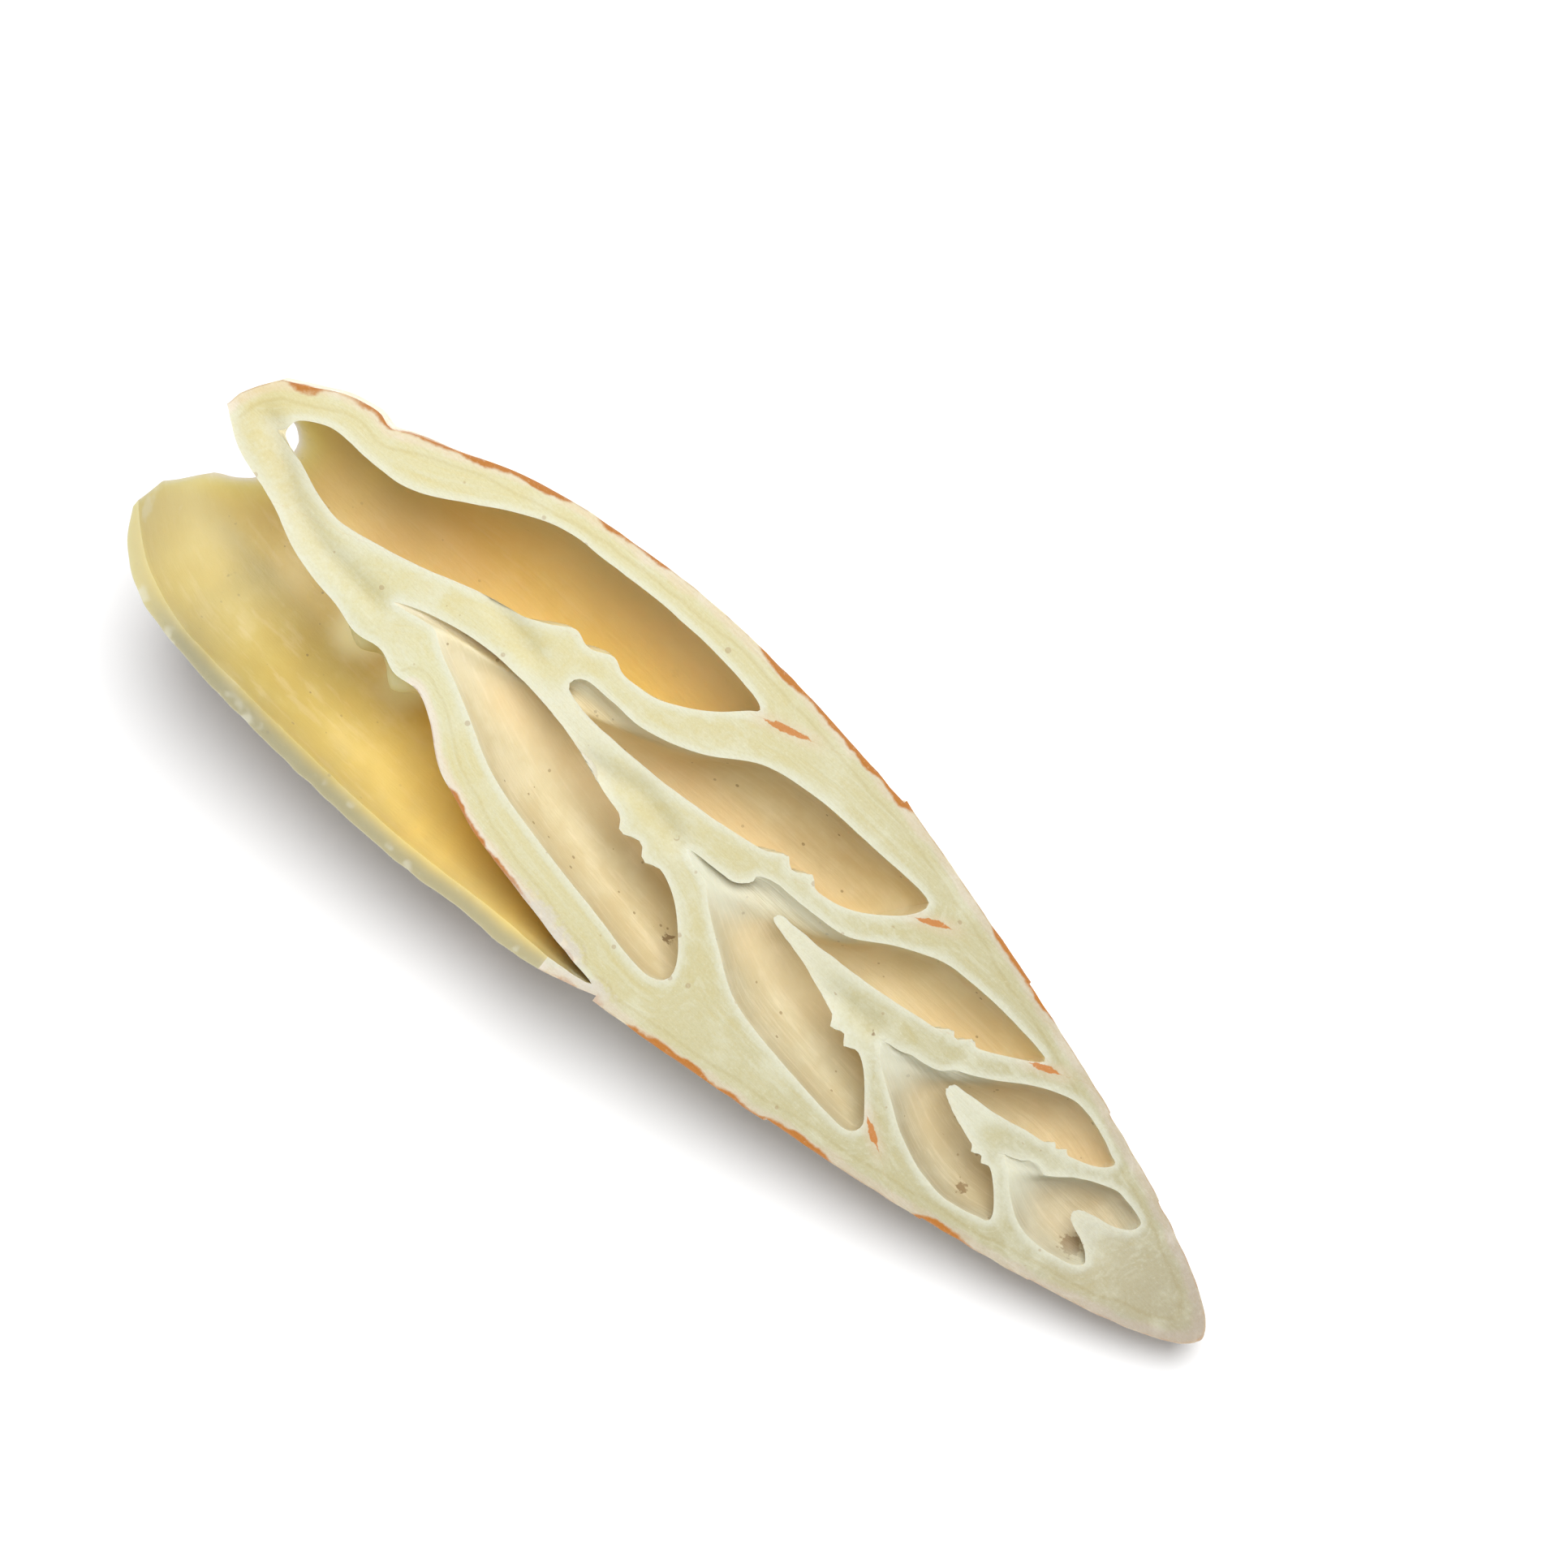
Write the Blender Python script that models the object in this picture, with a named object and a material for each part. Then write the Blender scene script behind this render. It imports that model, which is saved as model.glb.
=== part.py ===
"""Half of a miter shell that was sawn lengthwise, lying on its rounded back with the cut face up.

The shell is modelled as it grew: one solid body whose surface is the outside of the whorls, with the
spiral chamber taken out of it, one half turn at a time, and the sawn-off half cut away.

Shell coordinates, in millimetres: t runs along the axis from the apex to the siphonal tip, and every
section is drawn at an angle round the axis, 0 on the body side, 180 degrees on the aperture side.
n counts half turns back from the body side; the aperture is at n = -1.
"""

import math

import bmesh
import bpy
import numpy as np
from mathutils import Matrix

MM = 0.001

# Driving dimensions, in millimetres and degrees
SHELL_LENGTH = 100.0
CUT_DEPTH = 1.1          # how far the saw cut lies below the shell's axis
LIP_ANGLE = 167.0        # where the outer lip ends, round the axis
FIRST_SUTURE = 44.0      # distance of the last whorl's suture from the apex
SUTURE_STEP = 0.12       # length of the small step at each suture
WHORL_SLOPE = 0.018      # how much each whorl narrows against the spire's cone, as a share
LIP_FLARE_END = 0.88     # share of the half turn over which the last whorl widens to the lip
APEX_POINTS = [(0.25, 0.45), (0.9, 1.1)]

# Fineness of the facets
CHAMBER_POINTS = 34
APERTURE_POINTS = 54
TURN_STEPS = 16
MERIDIAN_STEPS = 20
LAST_WHORL_POINTS = 19

# Resting attitude on the table
REST_ROLL = 0.9
REST_PITCH = 9.7

IVORY = (0.86, 0.82, 0.70, 1.0)


def smooth(x):
    x = np.clip(x, 0.0, 1.0)
    return x * x * (3 - 2 * x)


def axis_bend(t):
    """Sideways bend of the columella near the siphonal end."""
    return -3.75 * np.exp(-(((t - 87.7) / 8.8) ** 2))


def suture(n):
    """Distance of the suture from the apex, n half turns back."""
    if n < 0:
        return FIRST_SUTURE - 6.4 * n
    return FIRST_SUTURE * math.exp(-0.215 * n - 0.005 * n * n)


# Chamber sections where each half turn behind the columella begins, on the body side, and where it ends, on
# the aperture side: distance from the apex and from the axis. They run from the pointed end out along the
# outer wall to the siphonal end and back along the columella. The last whorls come first.
CHAMBER_SECTIONS = [
    ([(37.5, 8.3), (38.8, 8.9), (44.2, 8.7), (48.9, 8.4), (53.3, 7.4), (57.2, 4.8), (61.4, 3.2), (64.4, 3.0),
      (67.0, 2.8), (67.8, 2.0), (67.0, 1.5), (63.0, 1.3), (54.8, 1.9), (48.4, 3.1), (42.2, 4.0), (38.8, 6.2)],
     [(47.4, 8.7), (49.2, 9.8), (54.8, 9.2), (61.4, 8.4), (66.8, 7.4), (71.8, 5.3), (75.7, 3.5), (79.9, 1.8),
      (84.6, 1.6), (88.6, 1.4), (80.7, 0.9), (72.1, 1.3), (66.7, 1.6), (60.3, 2.7), (53.0, 3.8), (48.9, 6.4)]),
    ([(23.4, 6.5), (24.4, 6.8), (27.4, 6.9), (31.2, 6.8), (33.9, 6.4), (37.2, 4.8), (40.2, 2.9), (44.0, 2.3),
      (46.7, 2.1), (48.1, 1.7), (46.9, 1.3), (44.6, 1.2), (38.0, 1.5), (32.5, 2.4), (28.6, 3.2), (24.7, 5.4)],
     [(29.7, 6.7), (30.7, 7.6), (35.2, 7.5), (39.3, 7.2), (43.0, 6.5), (46.5, 4.7), (49.2, 3.2), (51.5, 2.2),
      (54.2, 1.8), (57.0, 1.5), (52.5, 0.8), (46.4, 1.1), (41.6, 1.5), (36.2, 2.6), (33.2, 3.2), (30.4, 5.6)]),
    ([(14.4, 4.7), (15.2, 5.1), (17.0, 5.7), (19.4, 6.0), (21.2, 5.5), (23.2, 4.4), (25.3, 2.9), (27.0, 2.0),
      (28.0, 1.7), (28.8, 1.4), (28.2, 1.3), (27.2, 1.2), (23.5, 1.5), (20.8, 2.1), (17.5, 2.8), (15.3, 3.7)],
     [(18.2, 4.9), (19.2, 5.4), (20.8, 5.9), (22.3, 6.1), (24.7, 5.8), (27.2, 5.0), (29.4, 3.9), (31.6, 2.8),
      (33.3, 2.0), (34.6, 1.3), (31.5, 0.7), (28.0, 1.1), (26.0, 1.5), (23.5, 1.9), (21.1, 2.2), (18.9, 3.8)]),
    ([(10.0, 3.1), (11.0, 3.4), (12.0, 3.5), (13.0, 3.5), (14.7, 2.8), (15.6, 2.3), (16.6, 1.8), (17.6, 1.5),
      (18.4, 1.3), (19.0, 1.1), (17.5, 0.8), (15.5, 0.8), (14.5, 1.1), (13.0, 1.4), (11.3, 1.7), (10.2, 2.3)],
     [(11.0, 2.4), (11.6, 3.0), (12.8, 3.4), (14.2, 3.7), (15.6, 3.8), (16.9, 3.5), (18.6, 2.6), (20.0, 1.8),
      (21.2, 1.5), (22.2, 1.1), (19.0, 0.7), (15.5, 0.8), (14.5, 1.0), (13.5, 1.3), (12.5, 1.5), (11.5, 1.9)]),
]
SIPHONAL_POINTS = range(7, 11)  # the points at the siphonal end, which move on earlier in the turn

# Section of the last half turn where it starts, on the body side: distance from the apex and from the axis
BODY_SECTION = [
    (56.6, 10.00), (58.0, 10.45), (62.0, 10.60), (67.0, 10.40), (72.0, 9.75), (75.8, 9.20),
    (79.3, 7.90), (82.4, 6.50), (85.5, 5.35), (89.5, 4.80), (92.5, 4.30), (94.0, 3.50), (94.7, 2.55),
    (93.9, 1.60), (92.0, 1.55), (88.5, 1.75), (84.5, 2.15), (80.4, 2.10), (76.5, 2.30), (73.5, 2.60),
    (71.8, 3.30), (69.5, 4.00), (66.0, 4.40), (64.0, 4.60), (62.3, 4.95), (60.6, 6.00), (58.7, 7.60),
    (57.2, 9.30),
]
# The same points at the aperture, where the section runs out past the siphonal end
APERTURE_SECTION = [
    (51.0, 13.10), (52.6, 13.60), (57.0, 14.20), (62.0, 15.00), (68.0, 15.80), (75.8, 16.20),
    (80.0, 16.30), (84.0, 16.30), (88.0, 16.30), (92.0, 16.00), (97.0, 14.10), (101.0, 10.40), (103.5, 5.50),
    (102.5, 1.20), (97.5, 2.20), (92.5, 1.70), (88.5, 2.30), (84.5, 3.40), (81.5, 4.20), (78.0, 5.35),
    (75.5, 6.40), (73.0, 7.90), (70.5, 9.70), (68.0, 10.60), (65.0, 11.50), (61.0, 12.10), (56.5, 12.50),
    (53.0, 12.90),
]
BODY_OUTER_POINTS = 12    # how many of these lie on the outer wall

# Radius of the last whorl's outside from its suture to its end, on the body side and at the lip
BODY_OUTSIDE = [
    (0.0, 12.60), (0.122, 13.05), (0.283, 13.25), (0.39, 13.00), (0.478, 12.40), (0.611, 11.00), (0.701, 9.30),
    (0.763, 7.60), (0.825, 6.00), (0.85, 5.40), (0.883, 5.40), (0.923, 4.60), (0.974, 2.60), (1.0, 1.80),
]
LIP_OUTSIDE = [
    (0.0, 13.50), (0.047, 14.40), (0.11, 15.40), (0.175, 16.10), (0.246, 16.50), (0.314, 17.10),
    (0.46, 17.70), (0.615, 17.80), (0.774, 17.70), (0.843, 17.40), (0.90, 16.70), (0.947, 15.40),
    (0.976, 14.10), (1.0, 12.20),
]


# Ridges that wind along the columella: the first one's distance from the apex where a half turn begins and
# where it ends, and its height
APERTURE_FOLD = (66.3, 80.2, 1.3)
CHAMBER_FOLDS = [(44.2, 55.8, 0.45), (27.6, 35.6, 0.35), (17.2, 22.3, 0.25), (12.0, 13.6, 0.0)]
FOLD_SPACING = 1.05
FOLD_WIDTH = 0.018

SIPHONAL_TIP = (100.6, -1.4)  # distance from the apex, and sideways from the axis

# Angle round the axis, and how far from the apex the outer wall ends there
SIPHONAL_EDGE = [
    (0, 98.8), (35, 98.6), (60, 97.8), (90, 96.2), (105, 96.3), (114, 97.1), (123, 98.6), (133, 99.5),
    (150, 99.9), (180, 99.9),
]


def closed_curve(points, count):
    """Points spread evenly along a smooth closed curve through the given ones."""
    p = np.array(points, float)
    k = len(p)
    fine = []
    for i in range(k):
        a, b, c, d = p[i - 1], p[i], p[(i + 1) % k], p[(i + 2) % k]
        for s in np.linspace(0, 1, 12, endpoint=False):
            fine.append(0.5 * (2 * b + (c - a) * s + (2 * a - 5 * b + 4 * c - d) * s**2
                               + (3 * b - a - 3 * c + d) * s**3))
    fine = np.array(fine + [fine[0]])
    run = np.concatenate([[0], np.cumsum(np.linalg.norm(np.diff(fine[:, :2], axis=0), axis=1))])
    at = np.linspace(0, run[-1], count, endpoint=False)
    return np.stack([np.interp(at, run, fine[:, j]) for j in range(fine.shape[1])], axis=1)


def with_folds(section, first_fold, height):
    """Adds two ridges to the columella's side of a section, at and a little past the first fold."""
    t, radius = section.T
    ridges = np.zeros(len(t))
    for spot in (first_fold, first_fold * FOLD_SPACING):
        ridges += height * np.exp(-(((t - spot) / (FOLD_WIDTH * spot)) ** 2))
    on_columella = radius < 0.6 * radius.max()
    return np.column_stack([t, radius + ridges * on_columella])


def chamber_section(k, w):
    """Section of half turn k, from w = 0 on the body side to w = 1 on the aperture side."""
    start, end = [np.array(side) for side in CHAMBER_SECTIONS[k]]
    share = np.full(len(start), smooth(w))
    share[list(SIPHONAL_POINTS)] = smooth((w - 0.1) / 0.55)
    points = start * (1 - share[:, None]) + end * share[:, None]
    section = closed_curve(points, CHAMBER_POINTS)
    first, last, height = CHAMBER_FOLDS[k]
    return with_folds(section, first + (last - first) * w, height)


def body_section(w):
    """Section of the last half turn, from w = 0 on the body side to w = 1 at the aperture."""
    points = np.array(BODY_SECTION) * (1 - w) + np.array(APERTURE_SECTION) * w
    inner = points[BODY_OUTER_POINTS + 1:, 1]
    points[BODY_OUTER_POINTS + 1:, 1] = np.hypot(inner, CUT_DEPTH * (1 - smooth((inner - 3) / 4)))
    section = closed_curve(points, APERTURE_POINTS)
    first, last, height = APERTURE_FOLD
    return with_folds(section, first + (last - first) * w, height * (0.5 + 0.5 * w))


def place(section, angle):
    """Ring of points in the model's axes: X towards the apex, Y towards the body side, Z up."""
    t, radius = section.T
    share = 1 - smooth((radius - 2) / 9)
    return np.column_stack([
        SHELL_LENGTH / 2 - t,
        radius * np.cos(angle) + share * axis_bend(t),
        -radius * np.sin(angle),
    ])


def mesh_object(name, vertices, faces):
    mesh = bpy.data.meshes.new(name)
    mesh.from_pydata([tuple(float(c) * MM for c in v) for v in vertices], [], faces)
    bm = bmesh.new()
    bm.from_mesh(mesh)
    bmesh.ops.recalc_face_normals(bm, faces=bm.faces)
    bm.to_mesh(mesh)
    bm.free()
    thing = bpy.data.objects.new(name, mesh)
    bpy.context.scene.collection.objects.link(thing)
    return thing


def loft(name, rings):
    """Closed solid through rings of equal count, with flat ends."""
    count = len(rings[0])
    vertices = [p for ring in rings for p in ring]
    faces = [tuple(range(count)), tuple((len(rings) - 1) * count + i for i in range(count))]
    for r in range(len(rings) - 1):
        for i in range(count):
            j = (i + 1) % count
            faces.append((r * count + i, r * count + j, (r + 1) * count + j, (r + 1) * count + i))
    return mesh_object(name, vertices, faces)


def chamber_turn(k):
    """Half turn k of the chamber, behind the columella from the body side to the aperture side."""
    rings = [place(chamber_section(k, w), math.pi * w) for w in np.linspace(0, 1, TURN_STEPS + 1)]
    return loft(f"chamber_turn_{k + 1}", rings)


def lip_angle(t):
    """Angle at which the outer lip ends: it rises to the cut face at the suture."""
    return np.radians(180 - (180 - LIP_ANGLE) * smooth((t - 50) / 12))


def raised(ring, height):
    """The same ring moved straight up to one height above the axis."""
    top = ring.copy()
    top[:, 2] = height
    return top


def aperture_turn():
    """The last half turn, which opens past the outer lip and at the siphonal end."""
    rings = [raised(place(body_section(0), 0), 1)]
    for w in np.linspace(0, 1, TURN_STEPS + 1):
        section = body_section(smooth(w) * 0.4 + w * 0.6)
        rings.append(place(section, w * lip_angle(section[:, 0])))
    past_lip = body_section(1)
    t, radius = past_lip.T
    past_lip[(radius > 13) | ((radius > 4) & (t > 95)), 1] += 6
    edge = place(past_lip, lip_angle(past_lip[:, 0]) + math.radians(0.6))
    return loft("aperture_turn", rings + [edge, raised(edge, 1)])


def spire_radius(t):
    """Radius of the shell's outside before the last whorl."""
    return 1.17 * t**0.635


def meridian(angle):
    """The outside's outline at one angle: pairs of distance from the apex and radius."""
    back = angle / math.pi
    points = list(APEX_POINTS)
    start = 1.8
    for turns in range(3, -1, -1):
        end = suture(2 * turns - back)
        for s in np.linspace(0, 1, 6, endpoint=False):
            t = start + (end - SUTURE_STEP - start) * s
            points.append((t, spire_radius(t) * (1 + WHORL_SLOPE * (0.5 - s))))
        points.append((end - SUTURE_STEP / 2, spire_radius(end) * (1 - WHORL_SLOPE / 2)))
        start = end
    end = edge_distance(angle)
    flare = min(back / LIP_FLARE_END, 1)
    flare = 0.5 * smooth(flare) + 0.5 * flare
    for x in 1 - np.linspace(1, 0, LAST_WHORL_POINTS) ** 1.5:
        body_side = np.interp(x, *zip(*BODY_OUTSIDE))
        lip_side = np.interp(x, *zip(*LIP_OUTSIDE))
        points.append((start + (end - start) * x, body_side * (1 - flare) + lip_side * flare))
    return points


def edge_distance(angle):
    """Where the outer wall ends at the siphonal notch."""
    return np.interp(math.degrees(angle), *zip(*SIPHONAL_EDGE))


def shell_body():
    angles = np.linspace(0, math.pi, MERIDIAN_STEPS + 1)
    columns = [meridian(a) for a in angles]
    count = len(columns[0])
    vertices = [(SHELL_LENGTH / 2, 0, 0)]
    for a, column in zip(angles, columns):
        for t, radius in column:
            vertices.append((SHELL_LENGTH / 2 - t, radius * math.cos(a), -radius * math.sin(a)))
    centre = len(vertices)
    vertices.append((SHELL_LENGTH / 2 - SIPHONAL_TIP[0], SIPHONAL_TIP[1], 0))

    def at(i, j):
        return 1 + i * count + j

    faces = []
    for i in range(len(columns) - 1):
        faces.append((0, at(i, 0), at(i + 1, 0)))
        faces.append((centre, at(i + 1, count - 1), at(i, count - 1)))
        for j in range(count - 1):
            faces.append((at(i, j), at(i, j + 1), at(i + 1, j + 1), at(i + 1, j)))
    last = len(columns) - 1
    faces.append((0, *[at(last, j) for j in range(count)], centre, *[at(0, j) for j in reversed(range(count))]))
    return mesh_object("split_miter_shell", vertices, faces)


def cut(thing, cutter):
    step = thing.modifiers.new(cutter.name, "BOOLEAN")
    step.operation = "DIFFERENCE"
    step.object = cutter
    step.solver = "EXACT"
    cutter.hide_render = True
    cutter.display_type = "WIRE"


def block_above(name, depth):
    """Block that fills the space above a level below the axis."""
    bpy.ops.mesh.primitive_cube_add(size=1, location=(0, 0, 0.05 - depth * MM))
    block = bpy.context.object
    block.name = name
    block.scale = (0.2, 0.2, 0.1)
    return block


def settle(shell):
    """Keeps only the finished half and turns it the way it lies, its lowest point on the table."""
    finished = bpy.data.meshes.new_from_object(shell.evaluated_get(bpy.context.evaluated_depsgraph_get()))
    shell.modifiers.clear()
    shell.data = finished
    for thing in list(bpy.data.objects):
        if thing != shell:
            bpy.data.objects.remove(thing)
    finished.transform(Matrix.Rotation(math.radians(REST_PITCH), 4, "Y")
                       @ Matrix.Rotation(math.radians(REST_ROLL), 4, "X"))
    corners = np.array([v.co for v in finished.vertices])
    middle = (corners.min(axis=0) + corners.max(axis=0)) / 2
    finished.transform(Matrix.Translation((-middle[0], -middle[1], -corners[:, 2].min())))
    finished.shade_smooth()
    finished.set_sharp_from_angle(angle=math.radians(35))


def build():
    for thing in list(bpy.data.objects):
        bpy.data.objects.remove(thing)
    shell = shell_body()
    cut(shell, block_above("rough_half", CUT_DEPTH / 2))
    cut(shell, aperture_turn())
    for k in range(len(CHAMBER_SECTIONS)):
        cut(shell, chamber_turn(k))
    cut(shell, block_above("sawn_off_half", CUT_DEPTH))
    settle(shell)
    material = bpy.data.materials.new("shell")
    material.use_nodes = True
    finish = material.node_tree.nodes["Principled BSDF"]
    finish.inputs["Base Color"].default_value = IVORY
    finish.inputs["Roughness"].default_value = 0.45
    shell.data.materials.append(material)


build()
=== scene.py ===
"""Half of a sawn miter shell on a pale table: its fine surface, its materials, light and camera."""

import math

import bmesh
import bpy
import numpy as np
from mathutils import Matrix, Vector
from mathutils.kdtree import KDTree


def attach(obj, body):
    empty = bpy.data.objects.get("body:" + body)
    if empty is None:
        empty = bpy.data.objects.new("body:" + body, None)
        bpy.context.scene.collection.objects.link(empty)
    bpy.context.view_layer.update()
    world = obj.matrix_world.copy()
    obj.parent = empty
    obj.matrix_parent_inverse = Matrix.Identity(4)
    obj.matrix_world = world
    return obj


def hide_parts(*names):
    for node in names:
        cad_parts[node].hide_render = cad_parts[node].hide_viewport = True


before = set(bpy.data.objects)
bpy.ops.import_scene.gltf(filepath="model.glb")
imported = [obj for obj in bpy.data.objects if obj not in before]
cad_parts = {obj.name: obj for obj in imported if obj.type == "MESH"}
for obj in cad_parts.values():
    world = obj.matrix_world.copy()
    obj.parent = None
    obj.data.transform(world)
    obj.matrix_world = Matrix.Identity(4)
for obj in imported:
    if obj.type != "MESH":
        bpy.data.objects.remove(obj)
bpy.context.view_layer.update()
MM = 0.001

# Driving dimensions, in millimetres and degrees: the same shell as the solid, at a finer step
SHELL_LENGTH = 100.0
CUT_DEPTH = 1.1
BLOCK_SIZE = (0.2, 0.2, 0.1)
LIP_ANGLE = 167.0
LIP_START = 50
LIP_EASING = 12
FIRST_SUTURE = 44.0
SUTURE_DESCENT = 6.4
SUTURE_SHRINK = 0.215
SUTURE_SHRINK_MORE = 0.005
SUTURE_STEP = 0.12
SPIRE_SCALE = 1.17
SPIRE_POWER = 0.635
LAST_WHORL_SIZE = 30.0
FIRST_WHORL_START = 1.8
WHORL_SLOPE = 0.018
LIP_FLARE_END = 0.88
APEX_POINTS = [(0.12, 0.22), (0.25, 0.45), (0.5, 0.75), (0.9, 1.1), (1.3, 1.37)]
REST_ROLL = 0.9
REST_PITCH = 9.7
LIFT = (1.0044, 2.0200, 13.6975)

# Fineness of the surface
CURVE_STEPS = 24
CHAMBER_POINTS = 150
APERTURE_POINTS = 300
TURN_STEPS = 72
MERIDIAN_STEPS = 130
LAST_WHORL_POINTS = 110
CROWDING = 1.5
WHORL_POINTS = 26
FACE_GRID = 0.55
GRID_SPANS = ((0, -51.0, 51.0), (1, -18.0, 14.0))
SHARP_ANGLE = 38.0

# Cross sections of the spaces in the sawn face: distance from the apex and from the axis, in millimetres.
# Each pair is the closed side's section and the aperture side's, half a turn later
CHAMBER_SECTIONS = [
    ([(37.5, 8.3), (38.8, 8.9), (44.2, 8.7), (48.9, 8.4), (53.3, 7.4), (57.2, 4.8), (61.4, 3.2),
      (64.4, 3.0), (67.0, 2.8), (67.8, 2.0), (67.0, 1.5), (63.0, 1.3), (54.8, 1.9), (48.4, 3.1),
      (42.2, 4.0), (38.8, 6.2)],
     [(47.4, 8.7), (49.2, 9.8), (54.8, 9.2), (61.4, 8.4), (66.8, 7.4), (71.8, 5.3), (75.7, 3.5),
      (79.2, 1.9), (82.6, 1.6), (85.0, 1.3), (79.8, 0.9), (72.1, 1.3), (66.7, 1.6), (60.3, 2.7),
      (53.0, 3.8), (48.9, 6.4)]),
    ([(23.4, 6.5), (24.4, 6.8), (27.4, 6.9), (31.2, 6.8), (33.9, 6.4), (37.2, 4.8), (40.2, 2.9),
      (44.0, 2.3), (46.7, 2.1), (48.1, 1.7), (46.9, 1.3), (44.6, 1.2), (38.0, 1.5), (32.5, 2.4),
      (28.6, 3.2), (24.7, 5.4)],
     [(29.7, 6.7), (30.7, 7.6), (35.2, 7.5), (39.3, 7.2), (43.0, 6.5), (46.5, 4.7), (49.2, 3.2),
      (51.0, 2.2), (53.2, 1.8), (54.8, 1.4), (51.6, 0.9), (46.4, 1.1), (41.6, 1.5), (36.2, 2.6),
      (33.2, 3.2), (30.4, 5.6)]),
    ([(14.4, 4.7), (15.2, 5.1), (17.0, 5.7), (19.4, 6.0), (21.2, 5.5), (23.2, 4.4), (25.3, 2.9),
      (27.0, 2.0), (28.0, 1.7), (28.8, 1.4), (28.2, 1.3), (27.2, 1.2), (23.5, 1.5), (20.8, 2.1),
      (17.5, 2.8), (15.3, 3.7)],
     [(18.2, 4.9), (19.2, 5.4), (20.8, 5.9), (22.3, 6.1), (24.7, 5.8), (27.2, 5.0), (29.4, 3.9),
      (31.6, 2.8), (33.3, 2.0), (34.6, 1.3), (31.5, 0.7), (28.0, 1.1), (26.0, 1.5), (23.5, 1.9),
      (21.1, 2.2), (18.9, 3.8)]),
    ([(10.0, 3.1), (11.0, 3.4), (12.0, 3.5), (13.0, 3.5), (14.7, 2.8), (15.6, 2.3), (16.6, 1.8),
      (17.6, 1.5), (18.4, 1.3), (19.0, 1.1), (17.5, 0.8), (15.5, 0.8), (14.5, 1.1), (13.0, 1.4),
      (11.3, 1.7), (10.2, 2.3)],
     [(11.0, 2.4), (11.6, 3.0), (12.8, 3.4), (14.2, 3.7), (15.6, 3.8), (16.9, 3.5), (18.6, 2.6),
      (20.0, 1.8), (21.2, 1.5), (22.2, 1.1), (19.0, 0.7), (15.5, 0.8), (14.5, 1.0), (13.5, 1.3),
      (12.5, 1.5), (11.5, 1.9)]),
]
# The thin siphonal end of a space: its point in the tables, and how much later it starts its way round
SIPHONAL_POINT = 9
SIPHONAL_DELAY = 0.3
SIPHONAL_LAG = [0, 0, 0, 0, 0.1, 0.25, 0.55, 1, 1, 1, 1, 0.55, 0.25, 0.1, 0, 0]
# How it runs under the columella: how deep, over what length, and in which shares of the half turn
ROOF_DEPTH = 1.4
ROOF_KEPT = 1.2
ROOF_LENGTH = 4.0
ROOF_START, ROOF_GROWTH = 0.2, 0.2
ROOF_END, ROOF_DECAY = 0.58, 0.14
# Valleys between the two sides of a turn: depth, how near the axis, and each space's place and reach
VALLEY_DEPTH = 0.55
VALLEY_SIDE, VALLEY_SIDE_WIDTH = 2.2, 0.7
VALLEYS = [(0.0, 1.0), (46.9, 1.6), (29.4, 1.9), (16.4, 1.6)]

# Sections of the last whorl's space: on the closed side and at the lip
BODY_SECTION = [
    (56.6, 10.00), (58.0, 10.45), (62.0, 10.60), (67.0, 10.40), (72.0, 9.75), (75.8, 9.20),
    (79.3, 7.90), (82.4, 6.50), (85.5, 5.35), (89.5, 4.80), (92.5, 4.30), (94.0, 3.50), (94.7, 2.55),
    (93.9, 1.60), (92.0, 1.55), (88.5, 1.75), (84.5, 2.15), (80.4, 2.10), (76.5, 2.30), (73.5, 2.60),
    (71.8, 3.30), (69.5, 4.00), (66.0, 4.40), (64.0, 4.60), (62.3, 4.95), (60.6, 6.00), (58.7, 7.60),
    (57.2, 9.30),
]
APERTURE_SECTION = [
    (51.0, 13.10), (52.6, 13.60), (57.0, 14.20), (62.0, 15.00), (68.0, 15.80), (75.8, 16.20),
    (80.0, 16.30), (84.0, 16.30), (88.0, 16.30), (92.0, 16.00), (97.0, 14.10), (101.0, 10.40), (103.5, 5.50),
    (102.5, 1.20), (97.5, 2.20), (92.5, 1.70), (88.5, 2.30), (84.5, 3.40), (81.5, 4.20), (78.0, 5.35),
    (75.5, 6.40), (73.0, 7.90), (70.5, 9.70), (68.0, 10.60), (65.0, 11.50), (61.0, 12.10), (56.5, 12.50),
    (53.0, 12.90),
]
BODY_OUTER_POINTS = 12

# Outside of the last whorl on the closed side and on the lip's: share of the way from the suture to the
# siphonal end, and distance from the axis
BODY_OUTSIDE = [
    (0.0, 12.60), (0.122, 13.05), (0.283, 13.25), (0.39, 13.00), (0.478, 12.40), (0.611, 11.00),
    (0.701, 9.30), (0.763, 7.60), (0.823, 6.10), (0.85, 5.15), (0.872, 5.45), (0.90, 5.12),
    (0.93, 4.40), (0.967, 2.85), (1.0, 1.60),
]
LIP_OUTSIDE = [
    (0.0, 13.50), (0.047, 14.40), (0.11, 15.40), (0.175, 16.10), (0.246, 16.50), (0.314, 17.10),
    (0.46, 17.70), (0.615, 17.80), (0.774, 17.70), (0.843, 17.40), (0.90, 16.70), (0.947, 15.40),
    (0.976, 14.10), (1.0, 12.20),
]
# Folds of the columella: where the first one lies on the closed side and on the aperture side, and its height
APERTURE_FOLD = (66.3, 77.6, 1.3)
CHAMBER_FOLDS = [(44.2, 55.8, 0.75), (27.6, 35.6, 0.6), (17.2, 22.3, 0.4), (12.0, 13.6, 0.0)]
FOLD_SPACING = 1.05
FOLD_WIDTH = 0.014
FOLD_WIDENING = 0.6
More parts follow.
